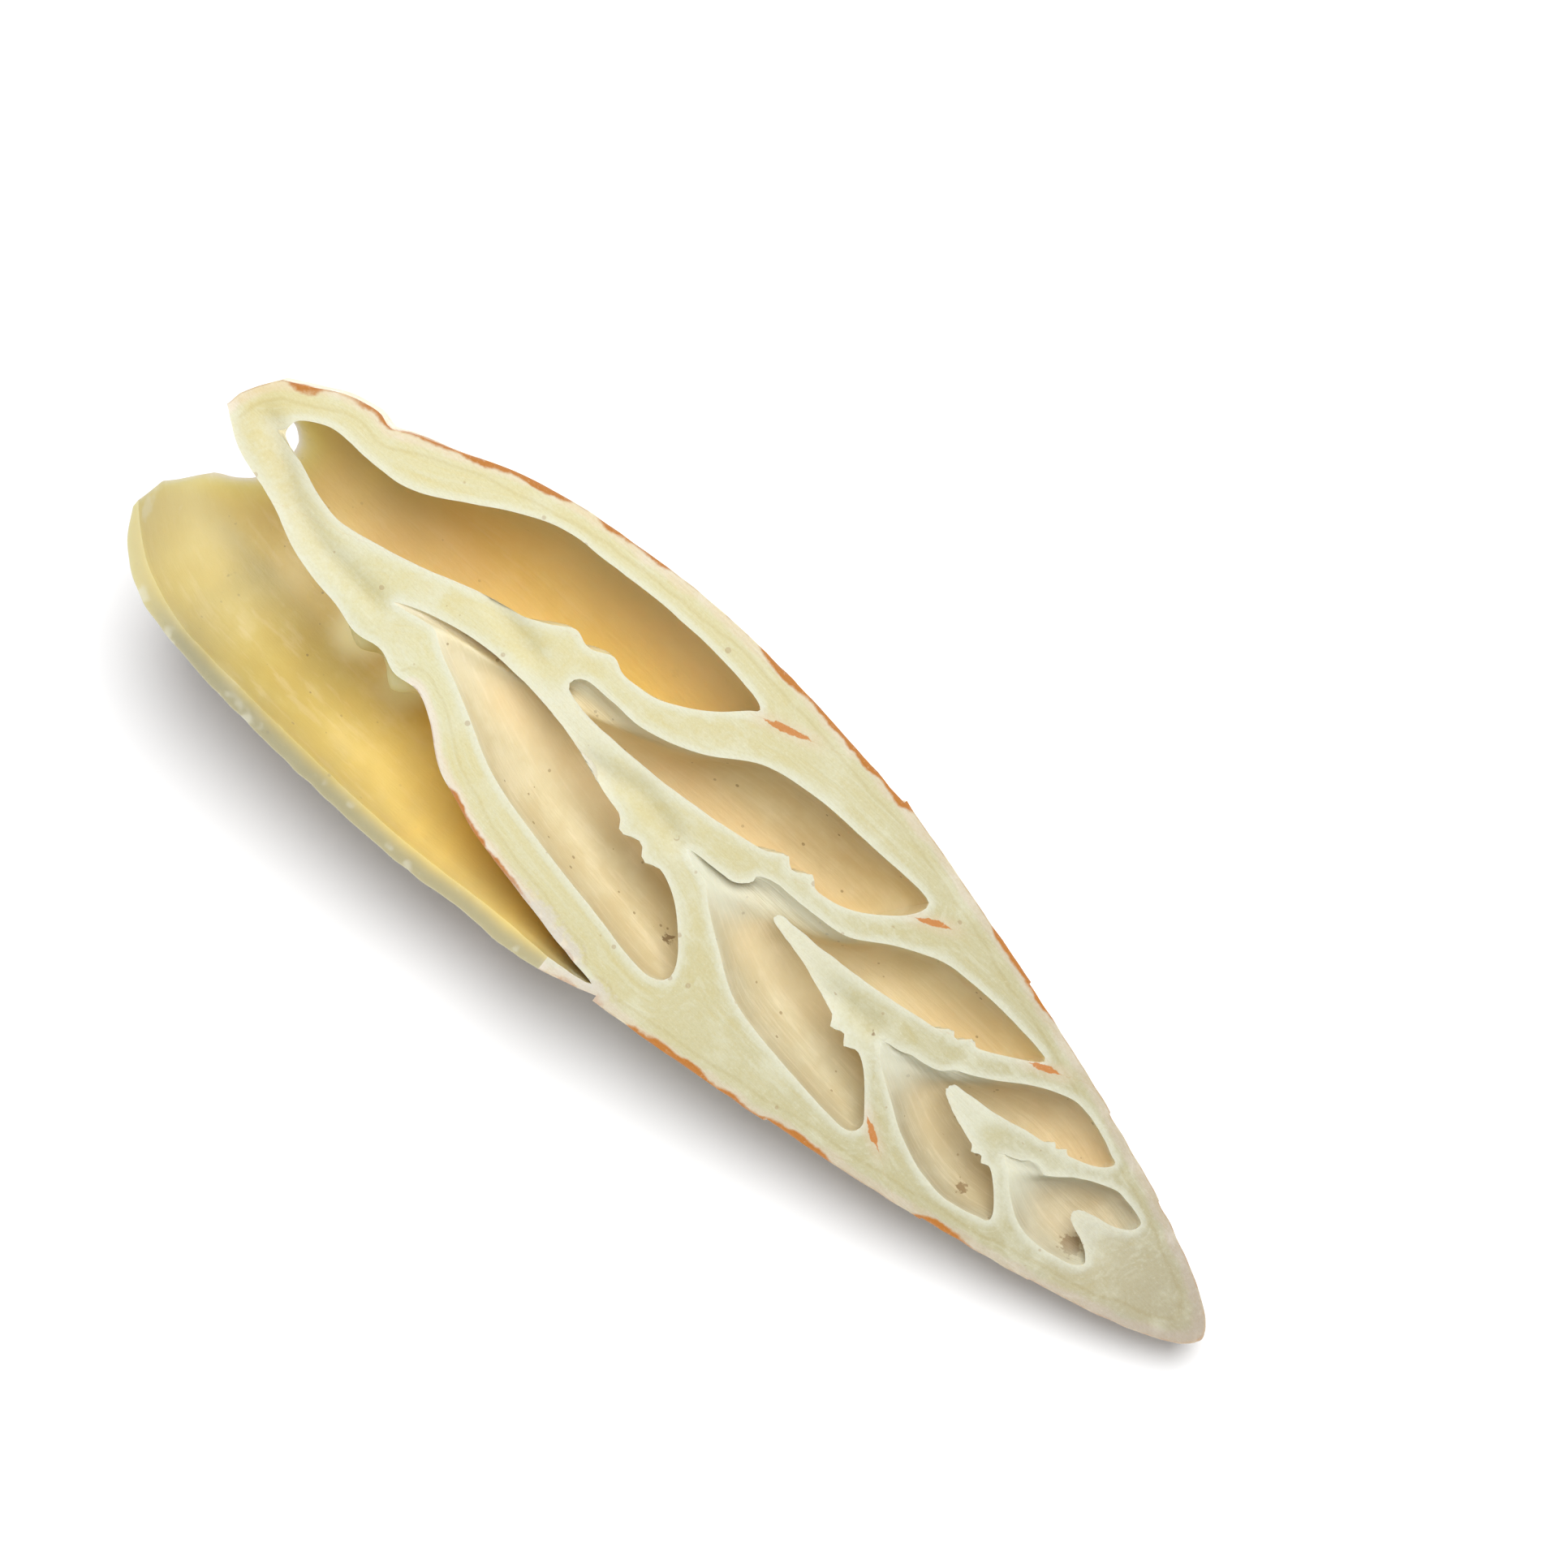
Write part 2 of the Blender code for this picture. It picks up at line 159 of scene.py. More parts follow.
# In the aperture the folds swell near their ends and fade at them
FOLD_SWELL, FOLD_SWELL_TURN, FOLD_SWELL_WIDTH = 1.55, 0.94, 0.16
FOLD_FADE, FOLD_FADE_TURN = 0.6, 0.95
# The siphonal end: how far from the apex it ends, by the angle about the axis
SIPHONAL_TIP = (100.6, -1.4)
SIPHONAL_EDGE = [
    (0, 98.5), (35, 98.4), (60, 98.0), (90, 96.6), (105, 96.4), (114, 97.0), (123, 97.9), (133, 98.7),
    (150, 99.9), (180, 99.9),
]
# The aperture's cutter runs so far past the lip and so far above the axis
PAST_LIP = 6.0
RISE_ABOVE_AXIS = 1.0
# The spaces' axis bends sideways near the siphonal end: how far, where and over what length. Points
# within the first radius follow it, points beyond the second don't
AXIS_BEND, AXIS_BEND_PLACE, AXIS_BEND_WIDTH = 3.75, 87.7, 8.8
BENT_RADIUS, STRAIGHT_RADIUS = 2.0, 11.0
# Relief: its heights and the lengths of its waves, in millimetres. The numbers for turn say how many
# millimetres of a wave one degree is
INSIDE_RELIEF, CHAMBER_RELIEF = 0.05, 0.04
INSIDE_WAVE, INSIDE_RIPPLE, INSIDE_TURN = 9, 2.2, 0.15
OUTSIDE_WAVE, OUTSIDE_GROWTH_WAVE, OUTSIDE_TURN = 16, 14, 0.2
OUTSIDE_UNEVEN = 0.006
GROWTH_HEIGHT, GROWTH_RATE = 0.05, 2.3

# Places read off the photograph, in its pixels; the apex, the scale and the axis's direction there put
# them on the shell
PHOTO_APEX = (1488, 1665)
PHOTO_SCALE = 16.78
PHOTO_ACROSS, PHOTO_DOWN = 0.714, 0.700
PHOTO_SKEW = 0.012
PIGMENT_EDGES = [
    ((370, 485), (470, 520)), ((505, 545), (600, 565)), ((630, 580), (690, 605)),
    ((735, 655), (810, 690)), ((950, 805), (1110, 985)), ((1240, 1150), (1290, 1240)),
    ((560, 990), (585, 1035)), ((605, 1065), (640, 1110)), ((700, 1190), (740, 1220)),
    ((790, 1272), (925, 1370)), ((962, 1387), (1010, 1420)), ((1140, 1510), (1180, 1530)),
]
BURIED_PIGMENT = [
    ((940, 885), (1000, 912)), ((1128, 1132), (1170, 1145)),
    ((1268, 1312), (1306, 1326)), ((1067, 1376), (1080, 1418)),
]
ERODED_EDGES = [((655, 1115), (735, 1215))]
# Ends of the columella's folds, where painted light brightens the fold lumps
FOLD_ENDS = [(433, 772), (490, 835)]
DIRT_SPOTS = [
    (1319, 1540, 17), (830, 825, 7), (822, 1160, 9), (274, 700, 5), (1185, 1470, 9), (1078, 1272, 5),
]
CREASES = [
    ((338, 520), (365, 610)), ((365, 610), (400, 672)), ((400, 672), (460, 735)), ((728, 941), (791, 976)),
    ((791, 976), (830, 1027)), ((1036, 1232), (1070, 1261)), ((612, 740), (656, 800)),
]

# How far the marks above reach, how thick the layers are and how much that varies, in millimetres
PIGMENT_REACH = 1.3
BURIED_REACH = 0.9
BURIED_SPAN = 3.0
BURIED_WIDTH = 0.30
SEAM_DEPTH, SEAM_SWING = 0.75, 1.1
OUTER_LAYER, OUTER_SWING = 0.15, 0.9
ERODED_REACH = 2.0
FOLD_REACH = 2.1
APEX_TONE_END, CREAM_START = 5, 80
LAPPED_END, LAPPED_RADIUS = 76.0, 12.8
LIP_SIDE, LIP_REACH = -9.0, 3.0
FAR = 9.0
CREASE_DEPTH = 0.35
CREASE_WIDTH = 0.75
CREASE_REACH = 1.2

# Colours, linear
SAWN_CREAM = (0.58, 0.55, 0.35)
# Greyer and darker towards the apex: partly the older shell's own colour, partly painted shade
SAWN_APEX_GREY_AND_SHADE = (0.42, 0.40, 0.27)
SAWN_CORE = (0.98, 0.92, 0.74)
SAWN_RIM = (0.62, 0.62, 0.51)
SAWN_PALE = (0.61, 0.61, 0.48)
OUTER_PINK = (0.60, 0.48, 0.37)
OUTER_TINT = (1.10, 0.98, 1.10)
PIGMENT = (0.40, 0.135, 0.002)
PIGMENT_BURIED = (0.46, 0.145, 0.002)
# A darker tint for the seam and the mottling, and painted shade along the creases
SAWN_LINE_AND_CREASE_SHADE = (0.80, 0.72, 0.52)
SAWN_FLECK = (0.72, 0.71, 0.56)
EDGE_BROWN = (0.33, 0.18, 0.11)
CHALK = (0.84, 0.83, 0.77)
CRUST = (0.54, 0.50, 0.42)
DIRT = (0.20, 0.12, 0.05)
SPECK_BROWN = (0.30, 0.18, 0.08)
GLAZE_SPECK = (0.22, 0.14, 0.06)
# Painted glow: a warm colour deep in the spaces, standing in for light bounced and shone through the walls
GLAZE_PAINTED_GLOW = (0.90, 0.68, 0.36)
GLAZE_SHADE = (0.90, 0.80, 0.66)
GLAZE_PALE = (0.90, 0.80, 0.60)
GROWTH_BROWN = (0.55, 0.40, 0.24)
# The lip's rim: its own translucent grey, made darker as painted shade where it curves away
LIP_RIM_GREY_AND_SHADE = (0.31, 0.30, 0.21)
LIP_TOP = (0.56, 0.50, 0.27)
# Painted highlights: glossy white glints on the lip
LIP_PAINTED_GLINT = (0.66, 0.65, 0.54)
# Painted light: a pale colour that brightens the fold lumps where they lie in shade
FOLD_PAINTED_LIGHT = (0.88, 0.84, 0.50)
APERTURE_YELLOW = (0.58, 0.46, 0.13)
APERTURE_ORANGE = (0.90, 0.68, 0.19)
APERTURE_PALE = (0.66, 0.57, 0.28)
APERTURE_DEEP = (0.86, 0.63, 0.24)
BODY_OCHRE = (0.70, 0.61, 0.36)
# Painted light: the closed side's ochre turns to this paler colour towards the apex, where the space lies in
# shade
BODY_PAINTED_LIGHT = (0.78, 0.67, 0.42)
CANAL_OCHRE = (0.70, 0.59, 0.29)
# Painted light on the canal's inner wall, which lies in shade
CANAL_LIT = (1.0, 0.90, 0.52)
OUTSIDE_CREAM = (0.80, 0.74, 0.60)
OUTSIDE_WARM = (0.76, 0.62, 0.43)
CHAMBER_COLOURS = [
    ((0.74, 0.63, 0.37), (0.63, 0.55, 0.34)), ((0.80, 0.70, 0.43), (0.55, 0.49, 0.32)),
    ((0.74, 0.64, 0.41), (0.47, 0.42, 0.28)), ((0.58, 0.50, 0.33), (0.45, 0.40, 0.27)),
]
# Where colours change along the axis: distances from the apex at which they start and end
ORANGE_ZONE = (86.0, 64.0)
PALE_ZONE = (84.0, 97.0)
BODY_LIGHT_ZONE = (76.0, 62.0)
CANAL_ZONE = (80.0, 90.0)
LIT_ZONE = (74.0, 80.0)
LIP_TOP_ZONE = (90.0, 96.0)
VALLEY_ZONE = (73.0, 66.0)

# Light that enters the shell: its share, its colour and how far it goes, in millimetres
SAWN_WAX = (0.3, (1.0, 0.8, 0.5), 0.45)
GLAZE_WAX = (0.5, (1.0, 0.85, 0.62), 2.2)
OUTSIDE_WAX = (0.2, (1.0, 0.7, 0.45), 0.8)
SHELL_IOR = 1.53
SAWN_GLOSS = 0.22
APERTURE_GLOSS = 0.15
CHAMBER_GLOSS = 0.05
# How much painted warm glow, standing in for light bounced and shone through the walls, the glaze gets deep
# under the axis, and how much less in each next space
PAINTED_GLOW_SHARE, PAINTED_GLOW_STEP = 0.45, 0.12

# The outside's pattern: spots in a turn, rows of them on a whorl, growth lines in a turn and spiral threads;
# and the growth lines in the glaze
SPOTS_PER_TURN = 15.0
SPOT_ROWS = 3.0
ROW_SHIFT = 0.37
LINES_PER_TURN = 90.0
GLAZE_LINES = 34.0
THREADS = 9.0

# Patches of the sawn face, partly real colour and partly painted shade, darkest towards the apex: place and
# reach in the photograph, colour, strength
SAWN_TONE_AND_SHADE_PATCHES = [
    (320, 500, 60, (0.56, 0.50, 0.26), 0.7), (350, 600, 70, (0.56, 0.53, 0.35), 0.7),
    (440, 740, 70, (0.55, 0.55, 0.40), 0.7), (520, 850, 60, (0.58, 0.58, 0.41), 0.7),
    (1400, 1590, 100, (0.38, 0.355, 0.265), 0.9), (1465, 1640, 60, (0.36, 0.33, 0.235), 0.9),
    (1010, 1250, 45, (0.58, 0.58, 0.43), 0.7), (1180, 1400, 45, (0.56, 0.56, 0.43), 0.7),
    (1340, 1560, 60, (0.45, 0.42, 0.30), 0.7),
]

# Camera: the point it looks at and the picture's directions, in the shell's own frame before it is laid down.
# Light: its way in the picture's directions, which are right, up and towards the camera
CAMERA_AIM = (-1.4, 7.35, -1.1)
CAMERA_DISTANCE = 380.0
FRAME_WIDTH = 115.14
SENSOR_WIDTH = 36.0
PICTURE_RIGHT = (0.7098, 0.7044, 0)
PICTURE_UP = (-0.7044, 0.7098, 0)
ROOM_LIGHT = 0.33
ROOM_COLOUR = (0.95, 0.97, 1.0, 1.0)
KEY_WAY = (0.12, 0.39, 0.91)
KEY_DISTANCE = 0.75
KEY_SIZE = 0.58
KEY_POWER = 7.6
TABLE_SIZE = 4
TABLE_PALE = (0.90, 0.90, 0.90)
TABLE_TINT = (0.86, 0.86, 0.87)
TABLE_ROUGHNESS = 0.75


def smooth(x):
    x = np.clip(x, 0.0, 1.0)
    return x * x * (3 - 2 * x)


def axis_bend(t):
    """How far the axis lies sideways, towards the aperture, near the siphonal end."""
    return -AXIS_BEND * np.exp(-(((t - AXIS_BEND_PLACE) / AXIS_BEND_WIDTH) ** 2))


def suture(n):
    """Distance from the apex to the suture, n half turns up the spire from the closed side's last one."""
    if n < 0:
        return FIRST_SUTURE - SUTURE_DESCENT * n
    return FIRST_SUTURE * math.exp(-SUTURE_SHRINK * n - SUTURE_SHRINK_MORE * n * n)


def ripple(a, b, seed, size):
    """Smooth random relief over two coordinates, in millimetres, about one unit high at most."""
    random = np.random.default_rng(seed)
    total = np.zeros(np.broadcast(a, b).shape)
    for scale in (1.0, 0.55, 0.3):
        for _ in range(6):
            turn = random.uniform(0, 2 * math.pi)
            wave = 2 * math.pi / (size * scale) * random.uniform(0.7, 1.3)
            total = total + scale * np.sin((a * math.cos(turn) + b * math.sin(turn)) * wave
                                           + random.uniform(0, 2 * math.pi))
    return total / 5


def closed_curve(points, count):
    """A smooth closed curve through the points, as a number of evenly spaced points."""
    p = np.array(points, float)
    k = len(p)
    fine = []
    for i in range(k):
        a, b, c, d = p[i - 1], p[i], p[(i + 1) % k], p[(i + 2) % k]
        for s in np.linspace(0, 1, CURVE_STEPS, endpoint=False):
            fine.append(0.5 * (2 * b + (c - a) * s + (2 * a - 5 * b + 4 * c - d) * s**2
                               + (3 * b - a - 3 * c + d) * s**3))
    fine = np.array(fine + [fine[0]])
    run = np.concatenate([[0], np.cumsum(np.linalg.norm(np.diff(fine, axis=0), axis=1))])
    at = np.linspace(0, run[-1], count, endpoint=False)
    return np.stack([np.interp(at, run, fine[:, j]) for j in range(2)], axis=1)


def with_folds(section, first_fold, height, width=FOLD_WIDTH):
    """The section with the columella's two folds pressed into its inner side."""
    t, radius = section.T
    ridges = np.zeros(len(t))
    for spot in (first_fold, first_fold * FOLD_SPACING):
        ridges += height * np.exp(-(((t - spot) / (width * spot)) ** 2))
    return np.column_stack([t, radius + ridges * (radius < 0.6 * radius.max())])


def chamber_section(k, w):
    """Section of one of the spire's spaces after a share w of its half turn."""
    start, end = [np.array(side) for side in CHAMBER_SECTIONS[k]]
    # The thin siphonal end starts its way round later than the wide part of the space
    late = SIPHONAL_DELAY * np.array(SIPHONAL_LAG)
    share = smooth((w - late) / (1 - 1.15 * late))
    section = closed_curve(start * (1 - share[:, None]) + end * share[:, None], CHAMBER_POINTS)
    first, last, height = CHAMBER_FOLDS[k]
    section = with_folds(section, first + (last - first) * w, height)
    # In the middle of the turn, the thin end runs deeper under the columella's sawn face
    tail = smooth((section[:, 0] - start[SIPHONAL_POINT, 0] + 0.5) / ROOF_LENGTH)
    roof = max(ROOF_DEPTH / max(math.sin(math.pi * w), 0.2) - ROOF_KEPT, 0)
    under = smooth((w - ROOF_START) / ROOF_GROWTH) * (1 - smooth((w - ROOF_END) / ROOF_DECAY))
    section[:, 1] += tail * roof * under
    # In all but the first space, the two sides of a turn meet in the sawn face, in a shallow valley
    spot, reach = VALLEYS[k]
    inner = smooth((VALLEY_SIDE - section[:, 1]) / VALLEY_SIDE_WIDTH)
    dip = VALLEY_DEPTH * inner * math.sin(math.pi * w)
    section[:, 1] -= dip * np.exp(-(((section[:, 0] - spot) / reach) ** 4))
    return section


def body_section(w):
    """Section of the last whorl's space after a share w of its turn to the lip."""
    points = np.array(BODY_SECTION) * (1 - w) + np.array(APERTURE_SECTION) * w
    # The inner side was measured in the sawn face, which lies a little below the axis
    inner = points[BODY_OUTER_POINTS + 1:, 1]
    points[BODY_OUTER_POINTS + 1:, 1] = np.hypot(inner, CUT_DEPTH * (1 - smooth((inner - 3) / 4)))
    section = closed_curve(points, APERTURE_POINTS)
    first, last, height = APERTURE_FOLD
    rise = 0.5 + 0.5 * w + FOLD_SWELL * math.exp(-(((w - FOLD_SWELL_TURN) / FOLD_SWELL_WIDTH) ** 2))
    rise *= 1 - FOLD_FADE * smooth((w - FOLD_FADE_TURN) / (1 - FOLD_FADE_TURN))
    width = FOLD_WIDTH * (1 + FOLD_WIDENING * w)
    return with_folds(section, first + (last - first) * w, height * rise, width)


def place(section, angle, seed=1, relief=INSIDE_RELIEF):
    """Points of a section after a turn about the axis, with fine relief on them."""
    t, radius = section.T
    turned = np.degrees(angle) * INSIDE_TURN
    radius = radius + relief * ripple(t, radius * 0.4 + turned, seed, INSIDE_WAVE)
    radius = radius + 0.5 * relief * ripple(t + radius, turned + 0 * t, seed + 20, INSIDE_RIPPLE)
    share = 1 - smooth((radius - BENT_RADIUS) / (STRAIGHT_RADIUS - BENT_RADIUS))
    return np.column_stack([
        SHELL_LENGTH / 2 - t,
        radius * np.cos(angle) + share * axis_bend(t),
        -radius * np.sin(angle),
    ])


def mesh_object(name, vertices, faces, material):
    mesh = bpy.data.meshes.new(name)
    mesh.from_pydata([tuple(float(c) * MM for c in v) for v in vertices], [], faces)
    bm = bmesh.new()
    bm.from_mesh(mesh)
    bmesh.ops.recalc_face_normals(bm, faces=bm.faces)
    bm.to_mesh(mesh)
    bm.free()
    mesh.materials.append(material)
    thing = bpy.data.objects.new(name, mesh)
    bpy.context.scene.collection.objects.link(thing)
    return thing


def loft(name, rings, material):
    count = len(rings[0])
    vertices = [p for ring in rings for p in ring]
    faces = [tuple(range(count)), tuple((len(rings) - 1) * count + i for i in range(count))]
    for r in range(len(rings) - 1):
        for i in range(count):
            j = (i + 1) % count
            faces.append((r * count + i, r * count + j, (r + 1) * count + j, (r + 1) * count + i))
    return mesh_object(name, vertices, faces, material)


def chamber_turn(k, material):
    rings = []
    for w in np.linspace(0, 1, TURN_STEPS + 1):
        rings.append(place(chamber_section(k, w), math.pi * w, 10 + k, CHAMBER_RELIEF))
    return loft(f"chamber_turn_{k + 1}", rings, material)


def lip_angle(t):
    """Angle about the axis at which the lip ends: half a turn at its start, less further down."""
    return np.radians(180 - (180 - LIP_ANGLE) * smooth((t - LIP_START) / LIP_EASING))


def raised(ring, height):
    top = ring.copy()
    top[:, 2] = height
    return top


def aperture_turn(material):
    rings = [raised(place(body_section(0), 0), RISE_ABOVE_AXIS)]
    for w in np.linspace(0, 1, TURN_STEPS + 1):
        section = body_section(smooth(w) * 0.4 + w * 0.6)
        rings.append(place(section, w * lip_angle(section[:, 0])))
    # Past the lip the space widens outwards, so that the cut leaves no rim there
    past_lip = body_section(1)
    t, radius = past_lip.T
    past_lip[(radius > 13) | ((radius > 4) & (t > 95)), 1] += PAST_LIP
    edge = place(past_lip, lip_angle(past_lip[:, 0]) + math.radians(0.6))
    return loft("aperture_turn", rings + [edge, raised(edge, RISE_ABOVE_AXIS)], material)


def spire_radius(t):
    return SPIRE_SCALE * t**SPIRE_POWER


def edge_distance(angle):
    return np.interp(math.degrees(angle), *zip(*SIPHONAL_EDGE))


def meridian(angle):
    """The outside's profile from the apex to the siphonal end, at an angle about the axis."""
    back = angle / math.pi
    points = list(APEX_POINTS)
    start = FIRST_WHORL_START
    for turns in range(3, -1, -1):
        end = suture(2 * turns - back)
        for s in np.linspace(0, 1, WHORL_POINTS, endpoint=False):
            t = start + (end - SUTURE_STEP - start) * s
            points.append((t, spire_radius(t) * (1 + WHORL_SLOPE * (0.5 - s))))
        points.append((end - SUTURE_STEP / 2, spire_radius(end) * (1 - WHORL_SLOPE / 2)))
        start = end
    end = edge_distance(angle)
    flare = min(back / LIP_FLARE_END, 1)
    flare = 0.5 * smooth(flare) + 0.5 * flare
    for x in 1 - np.linspace(1, 0, LAST_WHORL_POINTS) ** CROWDING:
        body_side = smooth_table(x, BODY_OUTSIDE)
        lip_side = smooth_table(x, LIP_OUTSIDE)
        points.append((start + (end - start) * x, body_side * (1 - flare) + lip_side * flare))
    return points


def smooth_table(x, table):
    """A table's value at x on a smooth curve through its points."""
    xs, ys = [np.array(column) for column in zip(*table)]
    slopes = np.gradient(ys, xs)
    i = int(np.clip(np.searchsorted(xs, x) - 1, 0, len(xs) - 2))
    width = xs[i + 1] - xs[i]
    s = (x - xs[i]) / width
    return ((1 + 2 * s) * (1 - s) ** 2 * ys[i] + s * (1 - s) ** 2 * width * slopes[i]
            + s * s * (3 - 2 * s) * ys[i + 1] + s * s * (s - 1) * width * slopes[i + 1])


def shell_body(material):
    angles = np.linspace(0, math.pi, MERIDIAN_STEPS + 1)
    columns = []
    for a in angles:
        column = np.array(meridian(a))
        t, radius = column.T
        turned = math.degrees(a) * OUTSIDE_TURN
        growth = GROWTH_HEIGHT * np.sin(t * GROWTH_RATE + math.degrees(a) * 0.05)
        growth = growth * ripple(t, turned, 3, OUTSIDE_GROWTH_WAVE)
        uneven = OUTSIDE_UNEVEN * ripple(t, turned, 2, OUTSIDE_WAVE) * smooth(t / 10)
        column[:, 1] = radius * (1 + uneven) + growth
        columns.append(column)
    count = len(columns[0])
    vertices = [(SHELL_LENGTH / 2, 0, 0)]
    for a, column in zip(angles, columns):
        for t, radius in column:
            vertices.append((SHELL_LENGTH / 2 - t, radius * math.cos(a), -radius * math.sin(a)))
    centre = len(vertices)
    vertices.append((SHELL_LENGTH / 2 - SIPHONAL_TIP[0], SIPHONAL_TIP[1], 0))

    def at(i, j):
        return 1 + i * count + j

    faces = []
    for i in range(len(columns) - 1):
        faces.append((0, at(i, 0), at(i + 1, 0)))
        faces.append((centre, at(i + 1, count - 1), at(i, count - 1)))
        for j in range(count - 1):
            faces.append((at(i, j), at(i, j + 1), at(i + 1, j + 1), at(i + 1, j)))
    last = len(columns) - 1
    lip_edge = [at(last, j) for j in range(count)]
    body_edge = [at(0, j) for j in reversed(range(count))]
    faces.append((0, *lip_edge, centre, *body_edge))
    return mesh_object("shell_half", vertices, faces, material)


def block_above(name, depth, material):
    """A block larger than the shell, from a depth below the axis upwards, for cutting away what is above."""
    bpy.ops.mesh.primitive_cube_add(size=1, location=(0, 0, BLOCK_SIZE[2] / 2 - depth * MM))
    block = bpy.context.object
    block.name = name
    block.scale = BLOCK_SIZE
    block.data.materials.append(material)
    return block


def cut(thing, cutter):
    step = thing.modifiers.new(cutter.name, "BOOLEAN")
    step.operation = "DIFFERENCE"
    step.object = cutter
    step.solver = "EXACT"
    step.material_mode = "TRANSFER"


def kept_result(thing, *cutters):
    """Makes the cuts final and removes the cutters."""
    result = bpy.data.meshes.new_from_object(thing.evaluated_get(bpy.context.evaluated_depsgraph_get()))
    thing.modifiers.clear()
    thing.data = result
    for cutter in cutters:
        bpy.data.objects.remove(cutter)


def grid_sawn_face(mesh, slot):
    """Divides the sawn face into small cells, so that values along it can be stored at its points."""
    bm = bmesh.new()
    bm.from_mesh(mesh)
    for axis, low, high in GRID_SPANS:
        for offset in np.arange(low, high, FACE_GRID):
            level = offset * MM
            crossed = [f for f in bm.faces if f.material_index == slot
                       and min(v.co[axis] for v in f.verts) < level < max(v.co[axis] for v in f.verts)]
            if not crossed:
                continue
            edges = {e for f in crossed for e in f.edges}
            points = {v for f in crossed for v in f.verts}
            normal = Vector((0, 0, 0))
            normal[axis] = 1
            bmesh.ops.bisect_plane(bm, geom=crossed + list(edges) + list(points), dist=1e-6,
                                   plane_co=normal * level, plane_no=normal)
    bm.to_mesh(mesh)
    bm.free()


def photo_place(x, y):
    """Distance from the apex and sideways place, in mm, of a point of the sawn face in the photograph."""
    dx, dy = x - PHOTO_APEX[0], y - PHOTO_APEX[1]
    t = (-PHOTO_ACROSS * dx - PHOTO_DOWN * dy) / PHOTO_SCALE
    side = (PHOTO_DOWN * dx - PHOTO_ACROSS * dy) / PHOTO_SCALE
    return np.array([t, side - PHOTO_SKEW * t])


def nearest_along(points, segments):
    """For each point: distance to the nearest segment, offset across it and distance beyond its ends."""
    best = np.full(len(points), 1e9)
    across = np.zeros(len(points))
    beyond = np.zeros(len(points))
    for a, b in segments:
        a, b = photo_place(*a), photo_place(*b)
        length = np.linalg.norm(b - a)
        way = (b - a) / length
        rel = points - a
        s = rel @ way
        off = rel @ np.array([-way[1], way[0]])
        outside = np.maximum(np.maximum(-s, s - length), 0)
        distance = np.hypot(outside, off)
        closer = distance < best
        best = np.where(closer, distance, best)
        across = np.where(closer, off, across)
        beyond = np.where(closer, outside, beyond)
    return best, across, beyond


def store(mesh, name, values):
    """Keeps one value, or one triple, for each point of the mesh."""
    triple = values.ndim == 2
    layer = mesh.attributes.new(name, "FLOAT_VECTOR" if triple else "FLOAT", "POINT")
    layer.data.foreach_set("vector" if triple else "value", values.astype(np.float32).ravel())


def points_of(mesh, slots):
    """Numbers of the mesh's points that belong to faces of the given material slots."""
    found = set()
    for polygon in mesh.polygons:
        if polygon.material_index in slots:
            found.update(polygon.vertices)
    return np.array(sorted(found))


def distance_to(points, targets):
    tree = KDTree(len(targets))
    for i, p in enumerate(targets):
        tree.insert(p, i)
    tree.balance()
    return np.array([tree.find(p)[2] for p in points])


def whorl_place(t, share):
    """Where points of the outside lie: share of the whorl down from the suture, and turns up the spire."""
    rows = np.zeros(len(t))
    turns = np.zeros(len(t))
    for i in range(len(t)):
        count = 0
        while count < 4 and t[i] < suture(2 * count - share[i]):
            count += 1
        top = suture(2 * count - share[i])
        size = suture(2 * count - 2 - share[i]) - top
        if count == 0:
            size = LAST_WHORL_SIZE
        rows[i] = (t[i] - top) / size
        turns[i] = count - share[i] / 2
    return rows, turns


def coordinates(mesh):
    """Places of the mesh's points, in metres."""
    co = np.zeros(len(mesh.vertices) * 3)
    mesh.vertices.foreach_get("co", co)
    return co.reshape(-1, 3)


def crease_strength(flat):
    """How much of a crease there is at each point: 1 in its middle, 0 away from it."""
    _, across, beyond = nearest_along(flat, CREASES)
    return np.exp(-((across / CREASE_WIDTH) ** 2) - (beyond / CREASE_REACH) ** 2)


def press_creases(mesh):
    """Lowers the sawn face along its shallow creases."""
    co = coordinates(mesh)
    face = np.abs(co[:, 2] + CUT_DEPTH * MM) < 1e-7
    flat = np.column_stack([SHELL_LENGTH / 2 - co[:, 0] / MM, co[:, 1] / MM])
    co[:, 2] -= np.where(face, CREASE_DEPTH * crease_strength(flat), 0) * MM
    mesh.vertices.foreach_set("co", co.ravel())


